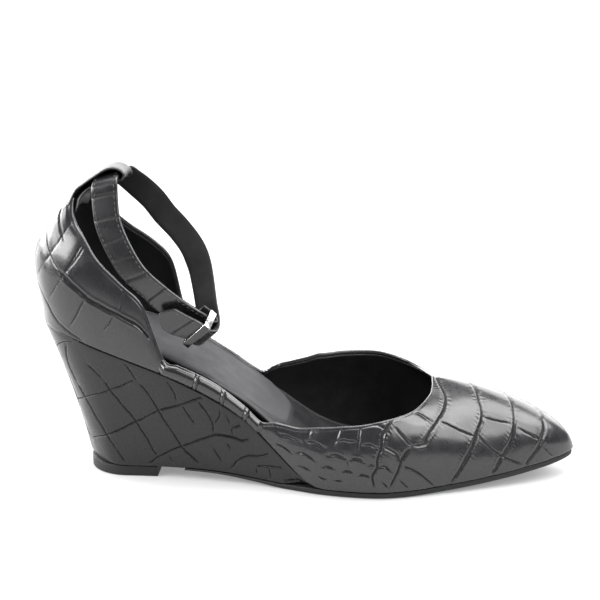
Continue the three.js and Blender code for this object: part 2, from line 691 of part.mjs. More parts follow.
// Leather loop that the strap runs through: a strip folded forwards and stitched inside the counter
function makeLoop() {
  const middle = loopFold.map((r) => shoePoint(r.along, 0, r.rise));
  const fold = new THREE.CatmullRomCurve3(middle, false, 'centripetal');
  const points = [];
  const rows = [];
  const backRound = halfBall * loopRound;
  for (let i = 0; i <= loopSteps; i += 1) {
    const centre = fold.getPoint(i / loopSteps);
    const tangent = fold.getTangent(i / loopSteps);
    const normal = new THREE.Vector3(-tangent.z, 0, tangent.x);
    const rise = (centre.z - heelHeight) / collarHeight;
    const round = Math.min(1, Math.max(0, (loopFlatRise - rise) / loopRoundSpan));
    const skin = (n, c) => {
      const y = loopWidth * (c / loopColumns - 0.5);
      const point = centre.clone().addScaledVector(normal, n * loopThickness / 2);
      return point.add(new THREE.Vector3((round * y * y) / (2 * backRound), y, 0));
    };
    const ring = [];
    for (let c = 0; c <= loopColumns; c += 1) ring.push(skin(-1, c));
    for (let c = loopColumns; c >= 0; c -= 1) ring.push(skin(1, c));
    rows.push(ring.map((p) => points.push(p) - 1));
  }
  const faces = [];
  gridFaces(faces, rows.map((row) => [...row, row[0]]), true);
  const cap = (row, flip) => {
    for (let c = 0; c < loopColumns; c += 1) {
      const [a, b, d, e] = [row[c], row[c + 1], row[row.length - 2 - c], row[row.length - 1 - c]];
      if (flip) faces.push(a, d, b, a, e, d);
      else faces.push(a, b, d, a, d, e);
    }
  };
  cap(rows[0], true);
  cap(rows[loopSteps], false);
  return toSolid(points, faces);
}

const shoe = new THREE.Group();
shoe.add(toMesh('upper', upperShell().add(makeLoop()), leather));
shoe.add(toMesh('wedge', makeWedge(), wedgeLeather));
shoe.add(toMesh('insole', makeInsole(), liningLeather));
shoe.add(toMesh('outsole', makeOutsole(), rubber));
shoe.add(toMesh('heel_top_piece', makeTopPiece(), rubber));
shoe.add(toMesh('ankle_strap', makeStrap(), leather));
shoe.add(makeBuckle());

export default shoe;
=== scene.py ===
# %% [markdown]
# # A wedge pump with an ankle strap
# The shoe is built the way a shoemaker lasts it: everything is measured from the last, the foot-shaped
# block that leather is pulled over. Sizes are in millimetres and become metres only when a mesh is made.
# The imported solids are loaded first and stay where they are, and each of them gets a finer piece over it.

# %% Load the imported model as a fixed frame
import math

import bmesh
import bpy
import numpy as np
from mathutils import Matrix, Vector


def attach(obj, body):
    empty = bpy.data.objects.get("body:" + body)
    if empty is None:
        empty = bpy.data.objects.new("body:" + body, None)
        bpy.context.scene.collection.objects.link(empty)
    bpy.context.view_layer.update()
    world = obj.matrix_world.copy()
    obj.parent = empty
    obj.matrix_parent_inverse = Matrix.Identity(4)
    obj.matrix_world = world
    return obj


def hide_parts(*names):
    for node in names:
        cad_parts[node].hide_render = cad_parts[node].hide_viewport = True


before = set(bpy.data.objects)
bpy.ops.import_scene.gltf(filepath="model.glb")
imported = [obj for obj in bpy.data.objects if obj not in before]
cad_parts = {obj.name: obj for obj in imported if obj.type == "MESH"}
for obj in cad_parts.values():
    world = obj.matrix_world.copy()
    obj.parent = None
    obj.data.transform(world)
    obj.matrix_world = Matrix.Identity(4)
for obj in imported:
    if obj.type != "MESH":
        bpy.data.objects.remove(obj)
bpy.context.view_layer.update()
bpy.ops.object.select_all(action="DESELECT")
print("solids in the frame:", ", ".join(sorted(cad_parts)))

# %% [markdown]
# ## The last in numbers
# Each table row is a place on the last: shares of its length, of half the ball width and of the collar
# height. The same tables shape the solids, so every panel of leather lands where its solid is.

# %% Sizes and tables of the last
MM = 0.001
LAST_LENGTH, LAST_START, HALF_BALL = 240.0, -36.0, 36.0
HEEL_HEIGHT, COLLAR_HEIGHT = 70.5, 58.0
TOE_LIFT, ARCH_LIFT = 8.5, 4.0
SOLE_THICK, INSOLE_THICK, GAP = 2.6, 2.4, 0.3
TOP_PIECE_LENGTH, TOP_PIECE_HALF, TOP_PIECE_THICK = 33.0, 18.0, 4.6
WEDGE_HOLLOW, SOLE_INSET, TOE_POINT = 1.2, 0.4, 0.085
SOLE_START, TOE_BREAK, WEDGE_END, INSOLE_END = 0.271, 0.665, 0.512, 0.935
BAND_BACK, BAND_FRONT = 0.262, 0.425

# along, outer, inner: edge of the last seen from above
LAST_EDGE = (
    (0.010, 0.27, 0.27), (0.038, 0.50, 0.49), (0.088, 0.66, 0.64), (0.170, 0.74, 0.71), (0.250, 0.73, 0.67),
    (0.330, 0.70, 0.61), (0.400, 0.70, 0.59), (0.460, 0.79, 0.65), (0.520, 0.92, 0.78), (0.580, 0.99, 0.93),
    (0.640, 1.00, 1.03), (0.690, 0.93, 1.03), (0.750, 0.79, 0.92), (0.830, 0.60, 0.73), (0.910, 0.38, 0.49),
    (0.970, 0.16, 0.27), (0.995, 0.00, 0.15),
)
# along, height: seam between wedge and upper
SEAM_LINE = (
    (0.000, 1.000), (0.067, 0.938), (0.150, 0.840), (0.233, 0.728), (0.317, 0.580), (0.388, 0.418),
    (0.425, 0.293), (0.463, 0.160), (0.492, 0.068), (0.517, 0.015), (0.535, 0.000),
)
# along, height: top of the insole
INSOLE_LINE = (
    (0.000, 1.060), (0.088, 0.990), (0.150, 0.920), (0.233, 0.823), (0.304, 0.700), (0.354, 0.588),
    (0.396, 0.486), (0.433, 0.381), (0.471, 0.275), (0.508, 0.172), (0.546, 0.091), (0.588, 0.034),
    (0.629, 0.010), (0.670, 0.000),
)
# way round the shoe, along, across, rise: top edge of the upper
OUTER_TOP = (
    (0.000, 0.069, 0.00, 1.075), (0.036, 0.073, 0.28, 1.055), (0.062, 0.078, 0.40, 0.915),
    (0.095, 0.097, 0.53, 0.830), (0.140, 0.126, 0.66, 0.700), (0.185, 0.172, 0.73, 0.590),
    (0.220, 0.207, 0.74, 0.500), (0.245, 0.228, 0.73, 0.290), (0.262, 0.245, 0.72, 0.135),
    (0.285, 0.268, 0.71, 0.140), (0.350, 0.335, 0.70, 0.150), (0.400, 0.392, 0.70, 0.125),
    (0.425, 0.420, 0.72, 0.132), (0.450, 0.449, 0.755, 0.250), (0.480, 0.485, 0.80, 0.368),
    (0.510, 0.520, 0.84, 0.471), (0.540, 0.555, 0.87, 0.500), (0.600, 0.605, 0.88, 0.525),
    (0.690, 0.657, 0.81, 0.565), (0.780, 0.697, 0.58, 0.582), (0.880, 0.724, 0.26, 0.625),
    (0.950, 0.730, 0.04, 0.655), (1.000, 0.730, -0.14, 0.690),
)
INNER_TOP = (
    (0.000, 0.069, 0.00, 1.075), (0.036, 0.073, 0.28, 1.085), (0.062, 0.082, 0.42, 1.040),
    (0.095, 0.105, 0.54, 0.945), (0.140, 0.148, 0.66, 0.830), (0.185, 0.197, 0.71, 0.750),
    (0.215, 0.228, 0.71, 0.650), (0.240, 0.246, 0.69, 0.390), (0.262, 0.258, 0.67, 0.165),
    (0.285, 0.280, 0.65, 0.160), (0.350, 0.340, 0.60, 0.160), (0.400, 0.400, 0.59, 0.172),
    (0.420, 0.421, 0.605, 0.298), (0.440, 0.445, 0.63, 0.430), (0.490, 0.505, 0.72, 0.702),
    (0.515, 0.532, 0.78, 0.748), (0.550, 0.570, 0.86, 0.754),
    (0.610, 0.625, 0.93, 0.740), (0.690, 0.672, 0.88, 0.696), (0.780, 0.704, 0.66, 0.672),
    (0.880, 0.722, 0.40, 0.674), (0.950, 0.729, 0.23, 0.682), (1.000, 0.730, 0.14, 0.690),
)
# way, low out, low up, high out, high up: fullness of the wall between seam and top edge
FULLNESS = (
    (0.000, 0.14, -0.08, 0.74, -0.18), (0.062, 0.13, -0.06, 0.46, -0.14), (0.140, 0.08, 0.00, 0.14, 0.00),
    (0.220, 0.07, 0.00, 0.06, 0.00), (0.300, 0.05, 0.00, 0.05, 0.00), (0.420, 0.05, 0.00, 0.05, 0.00),
    (0.540, 0.10, 0.02, 0.10, 0.02), (0.640, 0.12, 0.06, 0.12, 0.08), (0.760, 0.13, 0.14, 0.12, 0.16),
    (0.880, 0.22, 0.16, 0.10, 0.16), (1.000, 0.54, 0.17, 0.16, 0.19),
)
# along, outer, inner: edge of the tread under the wedge
TREAD_EDGE = (
    (0.084, 0.22, 0.22), (0.100, 0.38, 0.38), (0.138, 0.50, 0.49), (0.217, 0.52, 0.50),
    (0.271, 0.55, 0.51), (0.338, 0.61, 0.53), (0.404, 0.68, 0.57), (0.460, 0.78, 0.64),
)
# along, lift, thickness: rear of the outsole
SOLE_REAR = (
    (0.271, 1.00, 0.35), (0.338, 0.86, 0.42), (0.404, 0.38, 0.58), (0.450, 0.06, 0.77),
    (0.475, 0.00, 0.90), (0.505, 0.00, 1.00),
)

# %% [markdown]
# ## From tables to curves
# A last has no corners, so its tables can't be read as straight pieces. They could be drawn as curves by
# hand in Blender, but then no size would drive them. Here each table is read as a smooth cubic, and the
# outline of the last is one closed curve through its rows. A place round the shoe is called its way: 0 at
# the heel, -1 and 1 at the toe by the outer or inner side.

# %% Reading the tables
def column(rows, k, place):
    """Value of a table's column k at any place, as a smooth cubic through its rows."""
    xs = np.array([row[0] for row in rows])
    ys = np.array([row[k] for row in rows])
    place = np.clip(np.asarray(place, float), xs[0], xs[-1])
    before = np.maximum(np.arange(len(xs)) - 1, 0)
    after = np.minimum(np.arange(len(xs)) + 1, len(xs) - 1)
    slopes = (ys[after] - ys[before]) / (xs[after] - xs[before])
    i = np.clip(np.searchsorted(xs, place, side="right") - 1, 0, len(xs) - 2)
    span = xs[i + 1] - xs[i]
    t = (place - xs[i]) / span
    blend = 3 * t**2 - 2 * t**3
    leave = t**3 - 2 * t**2 + t
    arrive = t**3 - t**2
    return (1 - blend) * ys[i] + blend * ys[i + 1] + span * (leave * slopes[i] + arrive * slopes[i + 1])


def x_at(along):
    return LAST_START + np.asarray(along) * LAST_LENGTH


def along_at(x):
    return (np.asarray(x) - LAST_START) / LAST_LENGTH


def shoe_point(along, across, rise):
    """A point given in shares of the last, in millimetres."""
    return np.array([x_at(along), across * HALF_BALL, HEEL_HEIGHT + rise * COLLAR_HEIGHT])


def toe_spring(along):
    return TOE_LIFT * np.maximum(0, (np.asarray(along) - TOE_BREAK) / (1 - TOE_BREAK)) ** 1.7


def seam_height(along):
    return SOLE_THICK + toe_spring(along) + column(SEAM_LINE, 1, along) * (HEEL_HEIGHT - SOLE_THICK)


def insole_top(along):
    rise = column(INSOLE_LINE, 1, along) * (HEEL_HEIGHT - SOLE_THICK)
    return SOLE_THICK + toe_spring(along) + GAP + INSOLE_THICK + rise


def sole_bottom(along):
    return toe_spring(along) + ARCH_LIFT * np.maximum(0, column(SOLE_REAR, 1, along))


def sole_top(along):
    return sole_bottom(along) + SOLE_THICK * column(SOLE_REAR, 2, along)


def wedge_bottom(along):
    return np.where(along <= SOLE_START, TOP_PIECE_THICK + GAP, sole_top(along) + GAP)


# %% Smooth curves and places along them
def smooth_curve(points, closed=False, per_span=48):
    """Centripetal Catmull-Rom curve through all points, which keeps uneven steps from overshooting."""
    points = np.asarray(points, float)
    count = len(points)
    out = []
    for k in range(count if closed else count - 1):
        p1, p2 = points[k], points[(k + 1) % count]
        p0 = points[k - 1] if closed or k > 0 else 2 * p1 - p2
        p3 = points[(k + 2) % count] if closed or k + 2 < count else 2 * p2 - p1
        gaps = [max(np.linalg.norm(b - a), 1e-6) ** 0.5 for a, b in ((p0, p1), (p1, p2), (p2, p3))]
        leave = ((p1 - p0) / gaps[0] - (p2 - p0) / (gaps[0] + gaps[1]) + (p2 - p1) / gaps[1]) * gaps[1]
        arrive = ((p2 - p1) / gaps[1] - (p3 - p1) / (gaps[1] + gaps[2]) + (p3 - p2) / gaps[2]) * gaps[1]
        t = np.linspace(0, 1, per_span, endpoint=False)[:, None]
        out.append((2 * t**3 - 3 * t**2 + 1) * p1 + (t**3 - 2 * t**2 + t) * leave
                   + (3 * t**2 - 2 * t**3) * p2 + (t**3 - t**2) * arrive)
    out.append(points[:1] if closed else points[-1:])
    return np.vstack(out)


def lengths_along(points):
    """Distance of each point from the first one, measured along the line."""
    steps = np.linalg.norm(np.diff(points, axis=0), axis=1)
    return np.concatenate([[0.0], np.cumsum(steps)])


def at_share(points, shares):
    """Points of a line at the given shares of its length."""
    length = lengths_along(points)
    wanted = np.asarray(shares) * length[-1]
    return np.stack([np.interp(wanted, length, points[:, k]) for k in range(points.shape[1])], -1)


outline_rows = [(x_at(0), 0.0)]
outline_rows += [(x_at(row[0]), -row[1] * HALF_BALL) for row in LAST_EDGE]
outline_rows += [(x_at(1), TOE_POINT * HALF_BALL)]
outline_rows += [(x_at(row[0]), row[2] * HALF_BALL) for row in reversed(LAST_EDGE)]
OUTLINE = smooth_curve(outline_rows, closed=True, per_span=64)
OUTLINE_LENGTH = lengths_along(OUTLINE)[-1]
TOE_SHARE = lengths_along(OUTLINE)[np.argmax(OUTLINE[:, 0])] / OUTLINE_LENGTH
SIDE_LENGTH = OUTLINE_LENGTH / 2
print(f"outline of the last: {OUTLINE_LENGTH:.0f} mm round, toe at {TOE_SHARE:.3f} of it")


def edge_at(way):
    """Point of the last's outline at a way, and the direction outwards there."""
    way = np.asarray(way, float)
    share = np.where(way < 0, -way * TOE_SHARE, 1 - way * (1 - TOE_SHARE)) % 1.0
    point = at_share(OUTLINE, share)
    ahead = at_share(OUTLINE, (share + 0.0006) % 1.0) - at_share(OUTLINE, (share - 0.0006) % 1.0)
    out = np.stack([ahead[..., 1], -ahead[..., 0]], -1)
    return point, out / np.linalg.norm(out, axis=-1, keepdims=True)


# %% [markdown]
# ## The skin of the upper
# On the real shoe the leather takes the shape of the last. The surface could be sculpted, but then the
# panels would have to be fitted to it one by one. Here a rib runs from the seam to the top edge, bent
# outwards by the fullness of that place. Rows of ribs make the surface that all leather panels lie on, and
# a panel asks for its own ways and its own heights.

# %% Skin, normals and rib lengths
def upper_skin(way, up):
    """Points of the upper's face, a rib for each way and a place on it for each share of its height."""
    way = np.asarray(way, float)
    up = np.broadcast_to(np.asarray(up, float), (len(way), np.shape(up)[-1]))
    around = np.abs(way)

    def top(k):
        return np.where(way < 0, column(OUTER_TOP, k, around), column(INNER_TOP, k, around))

    point, out = edge_at(way)
    foot = np.column_stack([point, seam_height(along_at(point[:, 0])) + GAP])
    head = np.column_stack([x_at(top(1)), np.where(way < 0, -1, 1) * top(2) * HALF_BALL,
                            seam_height(top(1)) + top(3) * COLLAR_HEIGHT])
    handles = []
    for share, k in ((1 / 3, 1), (2 / 3, 3)):
        bend = foot + (head - foot) * share
        bend[:, :2] += out * (column(FULLNESS, k, around) * HALF_BALL)[:, None]
        bend[:, 2] += column(FULLNESS, k + 1, around) * HALF_BALL
        handles.append(bend)
    t = up[:, :, None]
    a, b, c, d = (p[:, None, :] for p in (foot, handles[0], handles[1], head))
    return (1 - t)**3 * a + 3 * (1 - t)**2 * t * b + 3 * (1 - t) * t**2 * c + t**3 * d


def outward(grid):
    """Unit normals of a grid of points."""
    forward = np.gradient(grid, axis=0)
    upward = np.gradient(grid, axis=1)
    normal = np.cross(upward, forward)
    return normal / np.maximum(np.linalg.norm(normal, axis=2, keepdims=True), 1e-9)


def rib_length(way):
    """Length of the rib at each way."""
    ribs = upper_skin(way, np.linspace(0, 1, 24))
    return np.linalg.norm(np.diff(ribs, axis=1), axis=2).sum(axis=1)


# Distances from one end of a strip to the other, close together at both ends where its edge is rounded
EDGE_STEPS = (0.0, 0.08, 0.22, 0.45, 0.75, 1.1, 1.6)


def spread(length, step):
    """Distances from 0 to length about one step apart, closer together at both ends."""
    middle = np.linspace(EDGE_STEPS[-1], length - EDGE_STEPS[-1], max(3, int(length / step)))
    ends = np.array(EDGE_STEPS[:-1])
    return np.concatenate([ends, middle, (length - ends)[::-1]])


def rounding(distance, radius):
    """How far a rounded edge has sunk at a distance from its rim."""
    near = np.clip(radius - distance, 0, radius)
    return radius - np.sqrt(radius**2 - near**2)


# %% [markdown]
# ## Creases of the embossed leather
# Crocodile-embossed leather shows large tiles with sharp, narrow valleys between them. A bump map could
# hint at them, but gloss breaks at every valley, so the valleys are real relief and only the pores are
# bump. Each crease is a short line drawn in the shoe's own sizes, and the leather sinks along it and swells
# beside it.

# %% From lines to relief
# farthest that a crease is felt, and the stored value of leather without one
FAR, PLAIN = 9.0, 4.0
# a crease deeper than this has short wrinkles running into it
WRINKLED = 0.43
# height that the middle of a tile swells to, and how high the lip beside a crease is for its depth
TILE_SWELL, LIP_SHARE = 0.26, 0.25


def nearest_place(path, point):
    """Distance of each point from a line, how far along it the nearest place is, and the line's length."""
    nearest = np.full(len(point), FAR)
    run = np.zeros(len(point))
    length = lengths_along(path)
    for k in range(len(path) - 1):
        a, b = path[k], path[k + 1]
        t = np.clip(((point - a) @ (b - a)) / max((b - a) @ (b - a), 1e-9), 0, 1)
        apart = np.linalg.norm(point - a - t[:, None] * (b - a), axis=1)
        closer = apart < nearest
        nearest = np.where(closer, apart, nearest)
        run = np.where(closer, length[k] + t * (length[k + 1] - length[k]), run)
    return nearest, run, length[-1]


def crease_relief(p, q, creases):
    """Height of the leather at each place of a chart, and its distance from a crease in crease widths."""
    valley, shoulder, fringe = np.zeros(p.shape), np.zeros(p.shape), np.zeros(p.shape)
    gap, widths = np.full(p.shape, FAR), np.full(p.shape, PLAIN)
    # a slow waver, so that no crease runs dead straight
    wander_p = 0.14 * np.sin(q * 0.55 + 1.7 * np.sin(p * 0.23)) + 0.05 * np.sin(q * 1.9 + 0.6)
    wander_q = 0.14 * np.sin(p * 0.50 + 1.7 * np.sin(q * 0.27)) + 0.05 * np.sin(p * 1.7 + 1.3)
    for depth, width, line in creases:
        path = smooth_curve(line, per_span=8) if len(line) > 2 else np.array(line, float)
        near = ((p > path[:, 0].min() - FAR) & (p < path[:, 0].max() + FAR)
                & (q > path[:, 1].min() - FAR) & (q < path[:, 1].max() + FAR))
        if not near.any():
            continue
        point = np.stack([(p + wander_p)[near], (q + wander_q)[near]], -1)
        best, run, length = nearest_place(path, point)
        fade = np.clip(np.minimum(run, length - run) / 2.0, 0.3, 1)
        valley[near] = np.maximum(valley[near], depth * fade * np.exp(-(best / width)**2))
        lip = LIP_SHARE * depth * fade * np.exp(-((best - 2.4 * width) / (1.2 * width))**2)
        shoulder[near] = np.maximum(shoulder[near], lip)
        gap[near] = np.minimum(gap[near], best)
        widths[near] = np.minimum(widths[near], best / width + 0.8 * (1 - fade))
        if depth > WRINKLED:
            wrinkles = np.sin(2 * np.pi * run / 1.55 + 2.2 * np.sin(run * 0.45))
            fringe[near] += 0.055 * fade * wrinkles * np.exp(-((best - 1.7) / 0.9)**2)
    pillow = TILE_SWELL * (1 - np.exp(-gap / 2.6))
    # the distance in crease widths is stored on each mesh, and the leather's shader paints shade where it is
    # small
    return pillow + shoulder + fringe - valley, widths


# %% [markdown]
# ## Turning numbers into meshes
# A real panel is a sheet with a face and a back. A flat sheet with a Solidify modifier could stand for it,
# but that would double the fine grid where nobody looks. Here the face is fine, the back is coarse, and a
# rim of triangles joins them, so each piece is closed and still small.

# %% Meshes from grids of points
def grid_faces(rows, columns, wrap_rows=False, wrap_columns=False):
    i = np.arange(rows if wrap_rows else rows - 1)
    j = np.arange(columns if wrap_columns else columns - 1)
    a, b = np.meshgrid(i, j, indexing="ij")
    c, d = (a + 1) % rows, (b + 1) % columns
    quads = np.stack([a * columns + b, c * columns + b, c * columns + d, a * columns + d], -1)
    return quads.reshape(-1, 4)


def add_piece(name, points, faces, crease=None):
    mesh = bpy.data.meshes.new(name)
    mesh.from_pydata((np.asarray(points) * MM).tolist(), [], [tuple(int(v) for v in f) for f in faces])
    if crease is not None:
        layer = mesh.attributes.new("crease", "FLOAT", "POINT")
        layer.data.foreach_set("value", np.asarray(crease, np.float32))
    piece = bpy.data.objects.new(name, mesh)
    bpy.context.collection.objects.link(piece)
    work = bmesh.new()
    work.from_mesh(mesh)
    bmesh.ops.recalc_face_normals(work, faces=work.faces)
    if work.calc_volume(signed=True) < 0:
        bmesh.ops.reverse_faces(work, faces=work.faces)
    work.to_mesh(mesh)
    work.free()
    mesh.shade_smooth()
    return piece


def tell(*made):
    for piece in made:
        print(f"{piece.name}: {len(piece.data.polygons)} faces")


def zip_edges(near, far):
    """Triangles between two borders that have different numbers of points."""
    faces = []
    i = j = 0
    while i < len(near) - 1 or j < len(far) - 1:
        if j == len(far) - 1 or (i < len(near) - 1 and (i + 1) * (len(far) - 1) <= (j + 1) * (len(near) - 1)):
            faces.append((near[i], near[i + 1], far[j]))
            i += 1
        else:
            faces.append((near[i], far[j + 1], far[j]))
            j += 1
    return faces


def leather_panel(name, front, back, crease):
    """A closed panel: a fine front, a coarse back and a rim of triangles between their borders."""
    n, m = front.shape[:2]
    r, s = back.shape[:2]
    points = np.vstack([front.reshape(-1, 3), back.reshape(-1, 3)])
    start = n * m
    faces = [tuple(f) for f in grid_faces(n, m)] + [tuple(f + start) for f in grid_faces(r, s)]
    fine = np.arange(n * m).reshape(n, m)
    coarse = np.arange(r * s).reshape(r, s) + start
    for take in (lambda g: g[0], lambda g: g[-1], lambda g: g[:, 0], lambda g: g[:, -1]):
        faces += zip_edges(list(take(fine)), list(take(coarse)))
    values = np.concatenate([crease.reshape(-1), np.full(r * s, PLAIN)])
    return add_piece(name, points, faces, values)


# %% [markdown]
# ## Counter
# The counter is the stiff panel that wraps the heel. Its top and front edges are turned over and stitched
# down, which leaves a thin roll along the edge. It could be cut from a curved plane with a Shrinkwrap
# modifier, but it is taken straight from the skin, because then its edges are the last's own lines.
# Creases are drawn in a chart of the side: distance forwards and height, both in millimetres, unrolled
# round the heel so that they run on to the back and the inner side.

# %% Chart of the heel and creases of the counter
def unrolled(grid, back_row, straight):
    """Distance forwards of each point, laid out flat from the back of the heel to the straight side."""
    step = np.linalg.norm(np.diff(grid, axis=0), axis=2)
    length = np.vstack([np.zeros(grid.shape[1]), np.cumsum(step, axis=0)])
    from_back = np.abs(length - length[back_row])
    chart = np.zeros(from_back.shape)
    columns = np.arange(grid.shape[1])
    for rows in (slice(0, back_row + 1), slice(back_row, len(grid))):
        part, x = from_back[rows], grid[rows, :, 0]
        pick = np.argmin(np.abs(part - straight), axis=0)
        chart[rows] = part - part[pick, columns] + x[pick, columns]
    inner = slice(back_row + 1, len(grid))
    chart[inner] = 2 * chart[back_row] - chart[inner]
    return chart


def mirrored(creases, middle, shift=0.0, drop=0.0):
    """The outer side's creases for the inner side, moved a little."""
    return tuple((depth, width, tuple((2 * middle - p - shift, q - drop) for p, q in line))
                 for depth, width, line in creases)


HEEL_MIDDLE = -47.0
# depth, half width, then points forwards and up
COUNTER_CREASES = (
    (0.58, 0.72, ((-22, 97), (-18.5, 94), (-6.5, 85.5), (9, 79), (33, 69))),
    (0.20, 0.42, ((-44, 121), (-34, 109), (-22, 97))),
    (0.22, 0.60, ((-50, 97), (-48, 92), (-34, 83), (-27, 74), (-13, 65.5))),
    (0.26, 0.45, ((-36, 124), (-30, 118), (-22, 110))),
    (0.16, 0.32, ((-40, 92.5), (-28, 104), (-21, 115.5))),
    (0.18, 0.34, ((-29, 84), (-21, 94), (-10.5, 108))),
    (0.18, 0.34, ((-19, 96.5), (-9, 107))),
    (0.12, 0.30, ((-48, 92), (-44, 104), (-36, 116))),
    (0.16, 0.50, ((-2, 71), (6, 79))),
    (0.16, 0.50, ((9, 79), (18, 92))),
    (0.16, 0.50, ((-19, 72), (-9, 86))),
)


def skin_rows(way, columns):
    """Heights on each rib, close together near its two ends, and the distances to both edges."""
    ribs = upper_skin(way, np.linspace(0, 1, 24))
    length = np.linalg.norm(np.diff(ribs, axis=1), axis=2).sum(axis=1)
    slant = []
    for k, side in ((0, 1), (-1, -2)):
        edge = np.gradient(ribs[:, k], axis=0)
        rib = ribs[:, k] - ribs[:, side]
        cosine = np.abs((edge * rib).sum(1)) / (np.linalg.norm(edge, axis=1) * np.linalg.norm(rib, axis=1))
        slant.append(np.sqrt(np.clip(1 - cosine**2, 0.12, 1)))
    ends = np.array(EDGE_STEPS)
    limit = 0.35 * length[:, None] / ends[-1]
    low = ends * np.minimum(1 / slant[0][:, None], limit) / length[:, None]
    high = ends * np.minimum(1 / slant[1][:, None], limit) / length[:, None]
    share = np.linspace(0, 1, columns + 2)[1:-1]
    middle = low[:, -1:] + (1 - high[:, -1:] - low[:, -1:]) * share
    up = np.hstack([low, middle, 1 - high[:, ::-1]])
    to_foot = up * (length * slant[0])[:, None]
    to_head = (1 - up) * (length * slant[1])[:, None]
    return up, to_foot, to_head


# from a turned edge to the line where its fold ends, and from the face of a panel to its back
FOLD_END, PANEL_DEPTH = 1.5, 1.2


def edge_finish(distance, radius):
    """Sinking of a turned edge: round over its rim, with the line where the fold ends."""
    return rounding(distance, radius) + 0.16 * np.exp(-((distance - FOLD_END) / 0.28)**2)


def upper_panel(name, way, columns, relief_of):
    up, to_foot, to_head = skin_rows(way, columns)
    skin = upper_skin(way, up)
    normal = outward(skin)
    middle = skin[:, skin.shape[1] // 2]
    along = lengths_along(middle)
    to_end = np.minimum(along, along[-1] - along)[:, None] * np.ones(up.shape[1])
    relief, crease = relief_of(skin)
    fade = np.clip(np.minimum(to_head, to_end) / 2.2, 0, 1)
    sink = np.maximum(edge_finish(to_head, 0.85), edge_finish(to_end, 0.7))
    sink = np.maximum(sink, rounding(to_foot, 0.7))
    front = skin + normal * (relief * fade - sink)[:, :, None]
    rows = np.unique(np.linspace(0, len(way) - 1, len(way) // 5).astype(int))
    places = np.unique(np.linspace(0, up.shape[1] - 1, 18).astype(int))
    back = (skin - normal * PANEL_DEPTH)[np.ix_(rows, places)]
    return leather_panel(name, front, back, crease + PLAIN * (1 - fade))


def counter_relief(skin):
    """Relief and crease values of the counter, from its unrolled chart."""
    chart = unrolled(skin, int(np.argmin(skin[:, 0, 0])), 26.0)
    inner = mirrored(COUNTER_CREASES, HEEL_MIDDLE, 6, 4)
    return crease_relief(chart, skin[..., 2], COUNTER_CREASES + inner)


half = BAND_BACK * SIDE_LENGTH
counter_way = (spread(2 * half, 0.4) - half) / SIDE_LENGTH
counter = upper_panel("counter", counter_way, 130, counter_relief)
tell(counter)

# %% [markdown]
# ## Vamp
# The vamp covers the toes in one panel, from the rear corner of one side round the toe to the other. A
# real one is cut flat and pulled over the toe wet. Cloth simulation could do that, but its folds fall
# where they like, and these creases are known, so they are charted. The chart is the distance along the
# shoe and the girth round it, in degrees from the outer seam: 90 is the ridge and 180 the inner seam.

# %% Chart and creases of the vamp
# along x, mean radius of the girth
GIRTH_RADIUS = ((60, 36), (110, 36), (130, 33), (150, 27), (170, 19), (190, 12), (204, 5))


def girth_place(x, degrees):
    """Distance round the toe from its ridge, for an angle of the girth."""
    return (np.asarray(degrees) - 90) * np.pi / 180 * column(GIRTH_RADIUS, 1, x)


# depth, half width, then points along x and girth in degrees
TOE_CREASES = (
    (0.46, 0.46, ((126, 172), (131, 148), (135, 130), (137, 114), (142, 90), (145.5, 68), (142, 50),
                  (137.5, 38), (136, 33))),
    (0.46, 0.46, ((142, 178), (149, 150), (153, 130), (154, 112), (160, 79), (161.5, 60), (157.5, 35),
                  (154.5, 22), (148, 1.5))),
    (0.44, 0.44, ((161, 176), (166, 150), (170, 118), (175.5, 77), (176, 52.5), (172.5, 30), (166, 3))),
    (0.44, 0.42, ((176, 176), (183, 140), (186, 112), (188.5, 84), (190, 60), (189.5, 53), (187.5, 36),
                  (181, 3))),
    (0.28, 0.36, ((131, 55), (140, 49))),
    (0.30, 0.38, ((143, 50), (158, 41))),
    (0.30, 0.38, ((160, 42.5), (170, 24), (180.5, 9))),
    (0.27, 0.35, ((161.5, 60), (174.5, 57))),
    (0.27, 0.35, ((178, 54), (187, 42.5))),
    (0.27, 0.35, ((189, 36.5), (194.5, 5))),
    (0.27, 0.36, ((156, 128), (170, 122))),
    (0.27, 0.36, ((139, 134), (152, 138))),
    (0.27, 0.36, ((171, 124), (186, 120))),
    (0.27, 0.36, ((133, 150), (140, 166))),
    (0.28, 0.45, ((150, 160), (163, 158))),
)
SIDE_CREASES = (
    (0.50, 0.60, ((122.5, 47.5), (118.5, 39), (117.5, 30), (116, 24.5), (116, 19), (114, 12.5), (115, 3.5))),
    (0.34, 0.45, ((123.5, 41.5), (129.5, 33.5), (131.5, 32))),
    (0.46, 0.52, ((130.5, 31.5), (127, 25), (125.5, 18), (122.5, 8), (121.5, 4))),
    (0.32, 0.45, ((118, 31.5), (125, 25.5), (126, 20.5))),
    (0.32, 0.45, ((116.5, 19), (119, 19.5), (123, 15))),
    (0.32, 0.45, ((117.5, 10.5), (121.5, 3))),
    (0.34, 0.45, ((127, 20), (134.5, 13.5), (137.5, 9), (141.5, 1))),
    (0.32, 0.45, ((125, 11), (130.5, 2))),
    (0.32, 0.45, ((130.5, 54), (134, 51.5), (137.5, 48.5))),
    (0.34, 0.45, ((131.5, 32), (136.5, 33.5), (137.5, 38))),
    (0.26, 0.45, ((109.5, 43.5), (115, 43.5), (120, 41))),
    (0.22, 0.40, ((86.5, 42.5), (86, 37.5))),
    (0.22, 0.40, ((99.5, 43), (97, 33))),
    (0.22, 0.40, ((108.5, 43), (107, 27.5))),
    (0.22, 0.40, ((103, 25), (103.5, 19))),
)
